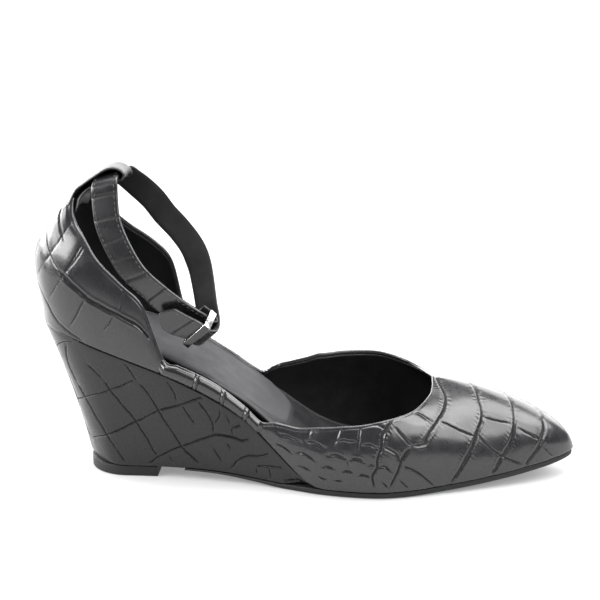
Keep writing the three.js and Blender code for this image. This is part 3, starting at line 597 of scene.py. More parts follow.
# Small arched scales of the quarter, as dark dashes
SCALE_CREASES = tuple((0.26, 0.42, line) for line in (
    ((73, 22), (76.5, 27), (82.5, 31)), ((84.5, 32.5), (88.5, 35), (93.5, 32)),
    ((98, 35.5), (100.5, 36), (107, 34.5)), ((109, 32), (112.5, 32.5), (116.5, 30.5)),
    ((70.5, 8), (74, 13.5), (78.5, 16.5)), ((80.5, 20), (84.5, 24), (89, 23)),
    ((94.5, 27), (98.5, 27.5), (102.5, 25)), ((104, 24), (107, 24.5), (111, 22)), ((112, 20.5), (115, 21.5)),
    ((80.5, 9), (83, 12), (87.5, 13.5)), ((91.5, 19), (94.5, 19.5), (98, 17.5)),
    ((100, 15.5), (103, 17), (106, 15)), ((107, 12.5), (109, 14), (113.5, 12.5)),
    ((89.5, 11.5), (94.5, 10)), ((97, 9.5), (102, 9)),
))


def on_girth(creases, inner=False, shift=0.0):
    """Creases given in degrees of girth, in millimetres for the chart."""
    out = []
    for depth, width, line in creases:
        places = [(x + shift, 180 - a if inner else a) for x, a in line]
        out.append((depth, width, tuple((x, float(girth_place(x, a))) for x, a in places)))
    return tuple(out)


def vamp_relief(skin):
    """Relief and crease values of the vamp, from its chart of length and girth."""
    x = skin[..., 0]
    along = along_at(x)
    middle = (column(LAST_EDGE, 2, along) - column(LAST_EDGE, 1, along)) * HALF_BALL / 2
    girth = np.degrees(np.arctan2(skin[..., 2] - seam_height(along), middle - skin[..., 1]))
    creases = on_girth(TOE_CREASES + SIDE_CREASES + SCALE_CREASES)
    creases += on_girth(SIDE_CREASES + SCALE_CREASES, inner=True, shift=2.0)
    return crease_relief(x, girth_place(x, girth), creases)


vamp_turn = spread(2 * (1 - BAND_FRONT) * SIDE_LENGTH, 0.42) / SIDE_LENGTH + BAND_FRONT
vamp_way = np.where(vamp_turn > 1, vamp_turn - 2, vamp_turn)
vamp = upper_panel("vamp", vamp_way, 118, vamp_relief)
tell(vamp)

# %% [markdown]
# ## Side bands
# Between counter and vamp the side is cut away to a low padded band: foam under thin leather, which gives a
# round glossy roll, with three narrow wraps across it. A bevelled curve could make the roll, but not the
# wraps, so it is the skin again, lifted by half an ellipse and by a ridge at each wrap.

# %% Padded side bands
# way of each raised wrap across the band
BAND_WRAPS = (0.319, 0.364, 0.402)
WRAP_HALF = 0.0019
# height of the roll over its edges, how deep those edges sink, and the height of a wrap and of its dents
ROLL_HEIGHT, ROLL_SINK, WRAP_HEIGHT, WRAP_DENT = 2.7, 0.95, 0.45, 0.20


def band_panel(name, side):
    """One padded roll; side is -1 for outer and 1 for inner."""
    start, stop = BAND_BACK - 0.008, BAND_FRONT + 0.008
    around = np.linspace(start, stop, 480)[:, None]
    way = side * around[:, 0]
    if side < 0:
        way, around = way[::-1], around[::-1]
    up = np.linspace(0, 1, 37)
    skin = upper_skin(way, up)
    normal = outward(skin)
    bulge = ROLL_HEIGHT * np.sqrt(np.clip(1 - (2 * up - 1)**2, 0, 1)) - ROLL_SINK
    wraps = sum(np.exp(-((around - at) / WRAP_HALF)**2) for at in BAND_WRAPS)
    from_rim = [np.abs(around - at) - 1.8 * WRAP_HALF for at in BAND_WRAPS]
    dents = sum(np.exp(-(apart / (0.7 * WRAP_HALF))**2) for apart in from_rim)
    ends = np.clip(np.minimum(around - start, stop - around) / 0.010, 0, 1)
    across = np.sin(np.pi * up)[None, :] ** 0.5
    lift = bulge[None, :] * ends - 0.9 * (1 - ends) + (WRAP_HEIGHT * wraps - WRAP_DENT * dents) * across
    front = skin + normal * lift[:, :, None]
    rows = np.unique(np.linspace(0, len(way) - 1, 40).astype(int))
    back = (skin - normal * 1.25)[np.ix_(rows, [0, 9, 18, 27, 36])]
    # the dents beside each wrap get low crease values, so the band's shader paints shade in them
    return leather_panel(name, front, back, PLAIN - 3.7 * np.clip(dents, 0, 1) * np.ones(len(up)))


bands = [band_panel("side_band_outer", -1), band_panel("side_band_inner", 1)]
tell(*bands)

# %% [markdown]
# ## Lining
# A thin lining is glued inside counter, bands and vamp, and ends a little below their top edge. A copy of
# the panels pushed inwards could do, but it would carry their creases, and a real lining is smooth. So it
# is its own ring of the skin, further in, with a wall of half a millimetre.

# %% Lining of the whole upper
# bare strip under the top edge, then the depths of the lining's face and back below the skin
LINING_BELOW, LINING_NEAR, LINING_FAR = 2.0, 1.25, 1.75


def lining_shell(name, way, columns):
    """A closed ring with a face, a back and two rims."""
    up = np.linspace(0, 1, columns) * (1 - np.minimum(LINING_BELOW / rib_length(way), 0.3))[:, None]
    skin = upper_skin(way, up)
    normal = outward(np.concatenate([skin[-2:-1], skin, skin[1:2]]))[1:-1]
    face, reverse = (skin - normal * LINING_NEAR)[:-1], (skin - normal * LINING_FAR)[:-1]
    n, m = face.shape[:2]
    count = n * m
    faces = np.vstack([grid_faces(n, m, wrap_rows=True), grid_faces(n, m, wrap_rows=True) + count])
    i = np.arange(n)
    j = (i + 1) % n
    for k in (0, m - 1):
        rim = np.stack([i * m + k, j * m + k, j * m + k + count, i * m + k + count], -1)
        faces = np.vstack([faces, rim])
    return add_piece(name, np.vstack([face.reshape(-1, 3), reverse.reshape(-1, 3)]), faces)


lining = lining_shell("upper_lining", np.linspace(-1, 1, 481), 40)
tell(lining)

# %% [markdown]
# ## Wedge
# The wedge is a light core covered in the same leather. Its side rises from the foot on the ground to the
# seam under the upper, and is hollowed a little half way up. It could be a block cut to shape with
# booleans, but those leave uneven faces that can't carry a fine relief. Here rings are stacked from foot
# to seam, and each ring goes along the outer side and back along the inner one.

# %% Outline at any distance inside the last's edge
def inset_edge(side, along, inset):
    """Points of one side's outline moved inwards, at the given places along the last."""
    way = side * np.linspace(0, 1, 3000)
    point, out = edge_at(way)
    moved = point - out * inset
    top = int(np.argmax(moved[:, 0]))
    y = np.interp(x_at(along), moved[:top + 1, 0], moved[:top + 1, 1])
    return np.column_stack([x_at(along), y])


def side_stations(inset, front, step):
    """Places along the last whose points lie about one step apart on the inset edge."""
    reach = front - along_at(LAST_START + inset)
    fine = along_at(LAST_START + inset + 0.02) + reach * np.linspace(0, 1, 2500) ** 2
    edge = inset_edge(-1, fine, inset)
    length = lengths_along(edge)
    count = max(20, int(length[-1] / step))
    return np.interp(np.linspace(0, length[-1], count), length, fine)


def closed_ring(outer, inner):
    return np.vstack([outer, inner[::-1]])


def stacked(name, rings, crease=None):
    """Closed solid of rings one above another, each along the outer side and back along the inner side."""
    count, m = len(rings), len(rings[0])
    points = np.vstack(rings)
    faces = grid_faces(count, m, wrap_columns=True).tolist()
    half = m // 2
    for level in (0, count - 1):
        base = level * m
        for i in range(half - 1):
            faces.append((base + i, base + i + 1, base + m - 2 - i, base + m - 1 - i))
    return add_piece(name, points, faces, crease)


# depth, half width, then points forwards and up
WEDGE_CREASES = (
    (0.34, 0.42, ((-20, 43), (2.5, 6))),
    (0.36, 0.42, ((-4.5, 47.5), (-2, 42.5), (2.5, 36.5), (8.5, 27.5), (12.5, 19.5), (17, 10))),
    (0.36, 0.42, ((12.5, 47.5), (17, 41), (20, 33.5), (24, 25.5), (28.5, 16.5), (37, 7.5))),
    (0.32, 0.40, ((27, 49.5), (29.5, 43), (29.5, 38))),
    (0.32, 0.40, ((32, 37.5), (34, 33), (37, 27))),
    (0.34, 0.40, ((41, 40), (43.5, 35.5), (46, 28), (44.5, 23))),
    (0.30, 0.40, ((47, 28.5), (50.5, 32), (53, 36.5))),
    (0.30, 0.40, ((55, 34), (56, 27.5))),
    (0.30, 0.40, ((63, 29), (56, 26), (55.5, 22.5))),
    (0.34, 0.42, ((-26, 32.5), (-2, 42.5), (11.5, 48.5))),
    (0.34, 0.42, ((-19, 14), (-4, 20.5), (8, 27), (20, 33.5), (32, 37.5), (41, 40.5), (45.5, 42))),
    (0.34, 0.42, ((3, 6), (12.5, 6.5), (17.5, 10), (29.5, 16.5), (39, 20.5), (45.5, 23), (55.5, 22.5),
                  (60, 21), (65.5, 22.5))),
    (0.32, 0.42, ((51, 6.5), (54, 10.5), (60, 13.5), (68, 14.5), (77, 16))),
    (0.28, 0.40, ((43.5, 17.5), (47, 9))),
    (0.28, 0.40, ((50.5, 20), (53, 15.5))),
    (0.28, 0.40, ((22, 11), (24.5, 7.5))),
    (0.24, 0.38, ((63.5, 9.5), (72, 10), (82.5, 10.5))),
    (0.24, 0.38, ((63.5, 9.5), (63, 5))),
    (0.24, 0.38, ((70.5, 10), (70, 4))),
    (0.24, 0.38, ((75, 4), (86.5, 5))),
    (0.30, 0.42, ((-34, 58), (-24, 63), (-12, 66))),
    (0.30, 0.42, ((-30, 24), (-26, 32.5), (-30, 44), (-36, 54))),
    (0.30, 0.42, ((-19, 14), (-27, 19), (-33, 24))),
    (0.28, 0.42, ((-12, 55), (-4.5, 47.5))),
    (0.28, 0.42, ((-20, 43), (-24, 52), (-22, 63))),
    (0.26, 0.42, ((6, 60), (12.5, 47.5))),
    (0.26, 0.42, ((27, 49.5), (24, 58))),
)
# place forwards of the line that the hollow sides are pulled towards
WEDGE_AXIS = 12.0


def wedge_rings(levels):
    """Outlines of the wedge one above another, from its foot to the seam."""
    along = side_stations(0, WEDGE_END, 0.5)
    rear, front = -TOP_PIECE_LENGTH / 2, x_at(WEDGE_END)
    share = (along - along[0]) / (along[-1] - along[0])
    foot_x = rear + (front - rear) * share
    round_off = np.minimum(1, (foot_x - rear) / TOP_PIECE_HALF)
    sides = []
    for side, k in ((-1, 1), (1, 2)):
        head = np.column_stack([inset_edge(side, along, 0), seam_height(along)])
        across = column(TREAD_EDGE, k, along_at(foot_x)) * HALF_BALL * np.sqrt(1 - (1 - round_off)**2)
        foot = np.column_stack([foot_x, side * np.maximum(across, 0.3), wedge_bottom(along_at(foot_x))])
        sides.append((foot, head))
    foot = closed_ring(sides[0][0], sides[1][0])
    head = closed_ring(sides[0][1], sides[1][1])
    rings = []
    for level in levels:
        point = foot + (head - foot) * level
        tall = head[:, 2] - foot[:, 2]
        hollow = WEDGE_HOLLOW * np.sin(np.pi * level) * tall / HEEL_HEIGHT
        inward = np.column_stack([WEDGE_AXIS - point[:, 0], -point[:, 1], 0 * tall])
        inward /= np.linalg.norm(inward, axis=1, keepdims=True)
        rings.append(point + inward * hollow[:, None])
    return np.array(rings)


tallest = HEEL_HEIGHT - TOP_PIECE_THICK
levels = spread(tallest, 0.5) / tallest
wedge_skin = wedge_rings(levels)
half_ring = wedge_skin.shape[1] // 2
turned = np.roll(wedge_skin, half_ring, axis=1).transpose(1, 0, 2)[::-1]
chart = unrolled(turned, half_ring, 22.0)
chart = np.roll(chart[::-1].T, -half_ring, axis=1)
inner_creases = mirrored(WEDGE_CREASES, HEEL_MIDDLE + 6, 5, 2)
relief, wedge_crease = crease_relief(chart, wedge_skin[..., 2], WEDGE_CREASES + inner_creases)

# %% Cover of the wedge with its relief
closed = np.concatenate([wedge_skin[:, -1:], wedge_skin, wedge_skin[:, :1]], axis=1)
wedge_normal = outward(closed.transpose(1, 0, 2))[1:-1].transpose(1, 0, 2)
away = wedge_skin[..., :2] - np.array([WEDGE_AXIS, 0.0])
facing = np.sign((wedge_normal[..., :2] * away).sum(-1).mean())
wedge_normal = wedge_normal * facing
rise = wedge_skin[-1, :, 2] - wedge_skin[0, :, 2]
from_ends = np.minimum(levels, 1 - levels)[:, None] * rise[None, :]
fade = np.clip(from_ends / 2.0, 0, 1)
sink = rounding(from_ends, 0.6)
cover = wedge_skin + wedge_normal * (relief * fade - sink)[..., None]
wedge = stacked("wedge_cover", list(cover), (wedge_crease + PLAIN * (1 - fade)).reshape(-1))
tell(wedge)

# %% [markdown]
# ## Insole
# The insole is a board covered in grey satin leather. Its cover, the sock, ends in a curve over the ball
# as a step that can be felt. It could be a cut sheet with a subdivision surface, but the thin raised rim
# needs rows close to the edge, so its rows are computed, and the step and some soft dimples are heights.

# %% Insole, with the sock that ends in a curve over the ball
SOCK_FRONT, SOCK_CURVE, SOCK_HALF, INSOLE_INSET = 75.2, 8.5, 17.5, 2.6


def insole_piece():
    """The board with its raised rim, the step of the sock and soft dimples."""
    near_step = along_at(np.linspace(64, 78, 60))
    along = np.sort(np.concatenate([side_stations(INSOLE_INSET, INSOLE_END, 0.9), near_step]))
    outer, inner = inset_edge(-1, along, INSOLE_INSET), inset_edge(1, along, INSOLE_INSET)
    share = 0.5 - 0.5 * np.cos(np.pi * np.linspace(0, 1, 70))
    flat = outer[:, None] * (1 - share[None, :, None]) + inner[:, None] * share[None, :, None]
    to_edge = np.minimum(share, 1 - share)[None, :] * (inner[:, 1] - outer[:, 1])[:, None]
    ridge = 0.40 * np.exp(-((to_edge - 1.3) / 0.7)**2) - 0.22 * np.exp(-((to_edge - 2.8) / 0.5)**2)
    beyond = flat[..., 0] - (SOCK_FRONT - SOCK_CURVE * (np.abs(flat[..., 1]) / SOCK_HALF)**6)
    step = 0.55 * np.clip(beyond / 0.8 + 0.5, 0, 1)
    swing = np.sin(flat[..., 0] * 0.33 + 0.5 * np.sin(flat[..., 1] * 0.2))
    dimple = 0.12 * swing * np.sin(flat[..., 1] * 0.21 + 1)
    height = insole_top(along)[:, None] - rounding(to_edge, 0.8) + ridge - step + dimple
    top = np.dstack([flat, height])
    rows = np.unique(np.linspace(0, len(along) - 1, 50).astype(int))
    level = (insole_top(along) - INSOLE_THICK)[:, None] * np.ones(len(share))
    below = np.dstack([flat, level])[np.ix_(rows, [0, 8, 20, 35, 49, 61, 69])]
    return leather_panel("insole_board", top, below, 4 * np.clip(beyond / 7 + 0.5, 0, 1))


insole = insole_piece()
tell(insole)

# %% [markdown]
# ## Outsole
# The thin rubber outsole starts half way under the wedge, where it is only a lip, and follows the toe's
# spring. A Bevel modifier of one width would overlap itself on the thin lip, so its soft edge is a small
# profile: rings at several heights, each with its own distance inwards.

# %% Outsole with softened edges
def sole_ring(inset):
    """Outline of the outsole, moved inwards."""
    rear = np.linspace(SOLE_START, 0.46, 60, endpoint=False)
    sides = []
    for side, k in ((-1, 1), (1, 2)):
        back = np.column_stack([x_at(rear), side * column(TREAD_EDGE, k, rear) * HALF_BALL])
        way = np.linspace(0, 1, 3000)
        point, _ = edge_at(side * way)
        start = way[np.argmax(along_at(point[:, 0]) >= 0.49)]
        point, out = edge_at(side * np.linspace(start, 0.998, 200))
        sides.append(np.vstack([back, point - out * SOLE_INSET]))
    ring = closed_ring(*sides)
    tangent = np.roll(ring, -1, axis=0) - np.roll(ring, 1, axis=0)
    out = np.column_stack([tangent[:, 1], -tangent[:, 0]])
    out /= np.linalg.norm(out, axis=1, keepdims=True)
    return ring - out * inset


# share of the height, inset
SOLE_PROFILE = (
    (0.0, 0.55), (0.05, 0.25), (0.16, 0.06), (0.35, 0.0), (0.70, 0.0), (0.88, 0.08), (0.97, 0.3), (1.0, 0.6),
)
sole_rings = []
for level, inset in SOLE_PROFILE:
    ring = sole_ring(inset)
    along = along_at(ring[:, 0])
    low, high = sole_bottom(along), sole_top(along)
    sole_rings.append(np.column_stack([ring, low + level * (high - low)]))
outsole = stacked("outsole_rubber", sole_rings)
tell(outsole)

# %% [markdown]
# ## Heel top piece
# A thick rubber plate carries the heel and is nailed on, round at the back and straight at the front. It
# could be one more stack of rings. A cylinder is quicker here, because its back is already round: every
# point in front of the middle is pressed into one straight line, and a bevel softens the rims.

# %% Heel top piece, as a cylinder whose front half is pressed flat
bpy.ops.object.select_all(action="DESELECT")
bpy.ops.mesh.primitive_cylinder_add(
    vertices=96, radius=TOP_PIECE_HALF * MM, depth=TOP_PIECE_THICK * MM,
    location=((TOP_PIECE_HALF - TOP_PIECE_LENGTH / 2) * MM, 0, TOP_PIECE_THICK / 2 * MM))
top_piece = bpy.context.object
top_piece.name = "heel_top_rubber"
bpy.ops.object.transform_apply(location=True, rotation=True, scale=True)
bpy.ops.object.mode_set(mode="EDIT")
bpy.ops.mesh.select_all(action="DESELECT")
shape = bmesh.from_edit_mesh(top_piece.data)
for vert in shape.verts:
    vert.select = vert.co.x > (TOP_PIECE_HALF - TOP_PIECE_LENGTH / 2 + 0.2) * MM
shape.select_flush_mode()
bmesh.update_edit_mesh(top_piece.data)
bpy.ops.transform.resize(value=(0, 1, 1), center_override=(TOP_PIECE_LENGTH / 2 * MM, 0, 0))
bpy.ops.object.mode_set(mode="OBJECT")
soften = top_piece.modifiers.new("soft rims", "BEVEL")
soften.width = 0.45 * MM
soften.segments = 3
soften.limit_method = "ANGLE"
bpy.ops.object.modifier_apply(modifier=soften.name)
bpy.ops.object.shade_smooth_by_angle(angle=math.radians(35))
tell(top_piece)

# %% [markdown]
# ## Ankle strap
# The strap is two layers of leather stitched together near their raw edges. It runs from its tip through
# the buckle on the outer side, over to the inner side, round the heel through the loop, and back to the
# buckle, where its end is folded round the frame's inner bar. A bevelled curve could carry a strip, but its
# twist is hard to steer. Here each place of the route also says which way is across the strap, and a
# section is swept along both.

# %% Places round the buckle
def unit(vector):
    vector = np.array(vector, float)
    return vector / np.linalg.norm(vector)


STRAP_WIDTH, STRAP_THICK = 11.5, 1.6
BUCKLE_LENGTH, BUCKLE_HEIGHT, BUCKLE_DEPTH, BUCKLE_BAR, BUCKLE_RIM = 15.7, 12.1, 3.2, 1.3, 0.8
BUCKLE_MIDDLE = shoe_point(0.305, -0.554, 0.011)
BUCKLE_ACROSS = unit((0.679, -0.293, 0.678))
BUCKLE_INWARD = unit((0.133, 0.950, 0.281))
BUCKLE_FORWARD = unit(np.cross(BUCKLE_INWARD, BUCKLE_ACROSS))

# along, across, rise, then the direction across the strap
STRAP_ROUTE = (
    (0.311, -0.17, 0.112, 0.74, -0.10, 0.62), (0.297, 0.22, 0.226, 0.80, -0.05, 0.56),
    (0.284, 0.49, 0.340, 0.84, 0.05, 0.50), (0.268, 0.63, 0.456, 0.80, 0.40, 0.42),
    (0.245, 0.67, 0.582, 0.76, 0.50, 0.40), (0.217, 0.62, 0.724, 0.76, 0.50, 0.42),
    (0.196, 0.52, 0.866, 0.78, 0.35, 0.50), (0.161, 0.40, 1.025, 0.82, 0.00, 0.50),
    (0.144, 0.27, 1.105, 0.93, 0.00, 0.34), (0.138, 0.02, 1.126, 0.96, 0.00, 0.26),
    (0.134, -0.22, 1.124, 0.96, 0.00, 0.25), (0.133, -0.34, 1.082, 0.96, 0.00, 0.25),
    (0.134, -0.39, 0.975, 0.96, 0.00, 0.24), (0.140, -0.47, 0.816, 0.97, 0.00, 0.20),
    (0.160, -0.56, 0.629, 0.93, 0.00, 0.36), (0.190, -0.62, 0.434, 0.86, 0.00, 0.48),
    (0.224, -0.62, 0.300, 0.76, -0.05, 0.64), (0.260, -0.58, 0.178, 0.71, -0.15, 0.68),
)


def from_buckle(inward, forward, across=0.0):
    """A point given in the buckle's own directions."""
    return BUCKLE_MIDDLE + BUCKLE_INWARD * inward + BUCKLE_FORWARD * forward + BUCKLE_ACROSS * across


def strap_path():
    """Places along the strap with its middle, its direction across and its normal."""
    bar = BUCKLE_HEIGHT / 2 - BUCKLE_BAR / 2
    wrap = BUCKLE_BAR / 2 + 2 * GAP + STRAP_THICK / 2
    under = -(BUCKLE_HEIGHT / 2 - BUCKLE_BAR - GAP - STRAP_THICK / 2)
    reach = BUCKLE_DEPTH / 2
    route = [(from_buckle(under - 1.8, -18.5, -3.6), (0.6, -0.1, 0.79))]
    route.append((from_buckle(under - 1.6, -10, -1.8), (0.6, -0.1, 0.79)))
    for inward, forward in ((0, -reach), (0, reach), (2.6, reach + 3.2), (8, reach + 3.6)):
        route.append((from_buckle(under + inward, forward), BUCKLE_ACROSS))
    route += [(shoe_point(*row[:3]), row[3:]) for row in STRAP_ROUTE]
    for inward, forward in ((bar - wrap - 1.2, -6), (bar - wrap, -reach), (bar - wrap, reach),
                            (bar, reach + wrap + 0.1), (bar + wrap, reach), (bar + wrap, -3 - reach)):
        route.append((from_buckle(inward, forward), BUCKLE_ACROSS))
    per_span = 40
    points = smooth_curve([p for p, _ in route], per_span=per_span)
    turns = np.array([a for _, a in route], float)
    spot = np.arange(len(points)) / per_span
    across = np.stack([np.interp(spot, np.arange(len(turns)), turns[:, k]) for k in range(3)], -1)
    length = lengths_along(points)
    even = np.linspace(0, length[-1], int(length[-1] / 0.5))
    points, across = (np.stack([np.interp(even, length, values[:, k]) for k in range(3)], -1)
                      for values in (points, across))
    tangent = np.gradient(points, axis=0)
    tangent /= np.linalg.norm(tangent, axis=1, keepdims=True)
    across -= tangent * (across * tangent).sum(1, keepdims=True)
    across /= np.linalg.norm(across, axis=1, keepdims=True)
    return even, points, across, np.cross(tangent, across)


strap_at, strap_middle, strap_across, strap_normal = strap_path()
print(f"strap: {strap_at[-1]:.0f} mm long")


# %% Strap of two layers with a pointed end and creases across it
# place along the strap from its tip, slant over its width, depth
STRAP_CREASES = (
    (11.5, 2.7, 0.30), (31, -1.0, 0.20), (159.8, -0.8, 0.34), (170, 0.3, 0.34), (180, 0.4, 0.14),
    (189.5, 1.0, 0.14), (198.7, 1.9, 0.34), (210, 1.1, 0.30), (221, 0.8, 0.20), (121, 0.5, 0.22),
    (98, -0.5, 0.22), (74, 0.6, 0.22),
)
DEEPEST_CREASE = 0.34
# share of the half width, share of the half thickness: outer layer with soft rims, domed a little
OUTER_SECTION = (
    (-1.0, 0.03), (-1.0, 0.55), (-0.97, 0.85), (-0.91, 1.0), (-0.78, 1.0), (-0.55, 1.10), (-0.2, 1.16),
    (0.2, 1.16), (0.55, 1.10), (0.78, 1.0), (0.91, 1.0), (0.97, 0.85), (1.0, 0.55), (1.0, 0.03),
)
INNER_SECTION = (
    (1.0, -0.03), (1.0, -0.7), (0.96, -0.95), (0.6, -1.0), (0.0, -1.0), (-0.6, -1.0), (-0.96, -0.95),
    (-1.0, -0.7), (-1.0, -0.03),
)


def strap_layer(name, section):
    """One layer: its section swept along the strap, with a pointed tip and its creases."""
    half = STRAP_WIDTH / 2 * np.clip((strap_at + 0.35) / 5.2, 0, 1) ** 0.85
    rings, marks = [], []
    for a, n in section:
        offsets = [(strap_at - at - slant * a, depth) for at, slant, depth in STRAP_CREASES]
        gaps = np.array([np.abs(apart) + 3 * (DEEPEST_CREASE - depth) for apart, depth in offsets])
        sink = sum(depth * np.exp(-(apart / 0.45)**2) for apart, depth in offsets)
        thick = STRAP_THICK / 2 * n - (0.8 * sink if n > 0.8 else 0)
        level = strap_normal * (thick * np.ones(len(half)))[:, None]
        rings.append(strap_middle + strap_across * (half * a)[:, None] + level)
        # low crease values along each crease on the flat faces, so the strap's shader paints shade there,
        # fainter on shallow creases
        marks.append(np.minimum(gaps.min(axis=0) / 0.5, PLAIN) if abs(n) > 0.9 else np.full(len(half), PLAIN))
    grid = np.array(rings).transpose(1, 0, 2)
    n, m = grid.shape[:2]
    faces = grid_faces(n, m, wrap_columns=True).tolist()
    faces += [tuple(range(m)), tuple(range((n - 1) * m, n * m))]
    return add_piece(name, grid.reshape(-1, 3), faces, np.array(marks).T.reshape(-1))


strap = strap_layer("ankle_strap_outer", OUTER_SECTION)
strap_back = strap_layer("ankle_strap_inner", INNER_SECTION)
tell(strap, strap_back)

# %% [markdown]
# ## Folded loop
# A wide tongue of leather rises from the counter, folds over the strap and is sewn down inside. Cloth
# simulation could fold a strip, but it would have to end exactly where the strap runs. Here the fold is a
# curve seen from the side, swept across the heel, and its far edge hangs a little as worn leather does.

# %% Folded loop
# along, rise: fold of the loop seen from the side, from outside to inside
LOOP_FOLD = (
    (0.056, 0.915), (0.075, 1.019), (0.089, 1.064), (0.107, 1.116), (0.133, 1.183), (0.148, 1.195),
    (0.160, 1.180), (0.166, 1.147), (0.163, 1.116), (0.144, 1.095), (0.117, 1.068), (0.096, 1.025),
    (0.079, 0.960), (0.070, 0.870),
)
LOOP_WIDTH, LOOP_THICK, LOOP_ROUND = 20.0, 1.1, 0.72


def loop_piece():
    """The fold swept across the heel, with two materials: leather outside and lining inside."""
    path = smooth_curve([shoe_point(along, 0, rise) for along, rise in LOOP_FOLD], per_span=30)
    length = lengths_along(path)
    path = at_share(path, np.linspace(0, 1, int(length[-1] / 0.5)))
    tangent = np.gradient(path, axis=0)
    tangent /= np.linalg.norm(tangent, axis=1, keepdims=True)
    normal = np.column_stack([-tangent[:, 2], 0 * tangent[:, 0], tangent[:, 0]])
    rise = (path[:, 2] - HEEL_HEIGHT) / COLLAR_HEIGHT
    curl = np.clip((1.04 - rise) / 0.12, 0, 1)
    share = np.linspace(0, 1, len(path))
    hung = np.interp(share, (0, 0.08, 0.30, 0.45, 0.60, 1), (0, 4.5, 5.0, 4.0, 2.0, 2.0))
    half = LOOP_WIDTH / 2
    y = spread(LOOP_WIDTH, 0.6) - half
    section = [(v, -1) for v in y] + [(v, 1) for v in y[::-1]]
    rings = []
    for v, side in section:
        soft = LOOP_THICK / 2 - rounding(np.array(half - abs(v)), 0.7)
        line = 0.12 * np.exp(-((half - abs(v) - 1.5) / 0.25)**2)
        point = path + normal * (side * (soft - line))
        forward = curl * v * v / (2 * HALF_BALL * LOOP_ROUND)
        drop = hung * np.clip((v - 2) / 8, 0, 1)**1.6
        rings.append(point + np.column_stack([forward, v * (1 + 0.22 * curl), -drop]))
    grid = np.array(rings).transpose(1, 0, 2)
    n, m = grid.shape[:2]
    faces = grid_faces(n, m, wrap_columns=True).tolist()
    for base in (0, (n - 1) * m):
        faces += [(base + i, base + i + 1, base + m - 2 - i, base + m - 1 - i) for i in range(m // 2 - 1)]
    piece = add_piece("strap_loop", grid.reshape(-1, 3), faces, np.full(n * m, PLAIN))
    # the faces inside the fold, and both faces of the flap past it, take the lining, whose darker black is
    # partly painted shade
    roll = int(np.argmax(path[:, 0]))
    for face in piece.data.polygons:
        row, place = divmod(min(face.vertices), m)
        face.material_index = int(row > roll or place < m // 2)
    return piece


loop = loop_piece()
tell(loop)

# %% [markdown]
# ## Buckle
# The buckle is a rectangular frame of polished metal. A box with a boolean hole would do too, but the cut
# leaves faces that bevel badly. Here a flat plate is inset, its middle is deleted, the rim that is left gets
# its depth, and one bevel rounds all edges alike.

# %% Buckle frame: a plate whose middle is inset and cut out, then thickened and rounded
BUCKLE_ROUND = 0.38
bpy.ops.object.select_all(action="DESELECT")
bpy.ops.mesh.primitive_plane_add(size=1)
buckle = bpy.context.object
buckle.name = "buckle_frame"
buckle.scale = (BUCKLE_LENGTH * MM, BUCKLE_HEIGHT * MM, 1)
bpy.ops.object.transform_apply(location=True, rotation=True, scale=True)
bpy.ops.object.mode_set(mode="EDIT")
bpy.ops.mesh.select_all(action="SELECT")
bpy.ops.mesh.inset(thickness=BUCKLE_RIM * MM)
bpy.ops.mesh.delete(type="FACE")
bpy.ops.object.mode_set(mode="OBJECT")
thicken = buckle.modifiers.new("depth", "SOLIDIFY")
thicken.thickness = BUCKLE_DEPTH * MM
thicken.offset = 0
bpy.ops.object.modifier_apply(modifier=thicken.name)
soften = buckle.modifiers.new("soft corners", "BEVEL")
soften.width = BUCKLE_ROUND * MM
soften.segments = 3
bpy.ops.object.modifier_apply(modifier=soften.name)
bpy.ops.object.shade_smooth_by_angle(angle=math.radians(40))
axes = Matrix((BUCKLE_ACROSS, -BUCKLE_INWARD, BUCKLE_FORWARD)).transposed().to_4x4()
buckle.matrix_world = Matrix.Translation(Vector(BUCKLE_MIDDLE * MM)) @ axes
bpy.ops.object.transform_apply(location=True, rotation=True, scale=True)
tell(buckle)

# %% [markdown]
# ## Stitches
# Two rows of stitches hold the strap's layers together, near its edges. An Array and a Curve modifier
# could lay them out, with helper objects for each row. A loop needs none: each thread is a short round tube
# that dives at both ends, and a whole row is joined in one mesh.

# %% Stitches in rows
def stitch_row(name, points, normals, length=1.5, gap=1.0, thick=0.36):
    """Short round threads laid along a line, as one joined mesh."""
    run = lengths_along(points)
    starts = np.arange(gap, run[-1] - length - gap, length + gap)
    rings, sides = 5, 6
    verts, faces = [], []
    for start in starts:
        stations = start + length * (0.5 - 0.5 * np.cos(np.pi * np.linspace(0, 1, rings)))
        centre = np.stack([np.interp(stations, run, points[:, k]) for k in range(3)], -1)
        up = np.stack([np.interp(stations, run, normals[:, k]) for k in range(3)], -1)
        ahead = unit(centre[-1] - centre[0])
        bulge = np.sin(np.pi * np.linspace(0.06, 0.94, rings))
        centre = centre + up * (0.10 * bulge)[:, None]
        beside = np.cross(ahead, up)
        base = len(verts)
        for ring in range(rings):
            for k in range(sides):
                turn = 2 * math.pi * k / sides
                offset = beside[ring] * math.cos(turn) + up[ring] * math.sin(turn)
                verts.append(centre[ring] + offset * thick / 2 * bulge[ring] ** 0.5)
        faces += [tuple(int(v) + base for v in f) for f in grid_faces(rings, sides, wrap_columns=True)]
        last = base + (rings - 1) * sides
        faces += [tuple(range(base, base + sides)), tuple(range(last, last + sides))]
    return add_piece(name, verts, faces)


# share of the strap's half width where a row runs, and what stays bare at the tip and at the other end
ROW_PLACE, BARE_TIP, BARE_END = 0.76, 5.0, 12.0


def strap_stitch_line(share):
    """Points and normals of one row of stitches."""
    keep = (strap_at > BARE_TIP) & (strap_at < strap_at[-1] - BARE_END)
    line = strap_middle + strap_across * (share * STRAP_WIDTH / 2) + strap_normal * (STRAP_THICK / 2 * 1.02)
    return line[keep], strap_normal[keep]


stitches = [stitch_row("strap_stitches_low", *strap_stitch_line(-ROW_PLACE)),
            stitch_row("strap_stitches_high", *strap_stitch_line(ROW_PLACE))]
tell(*stitches)
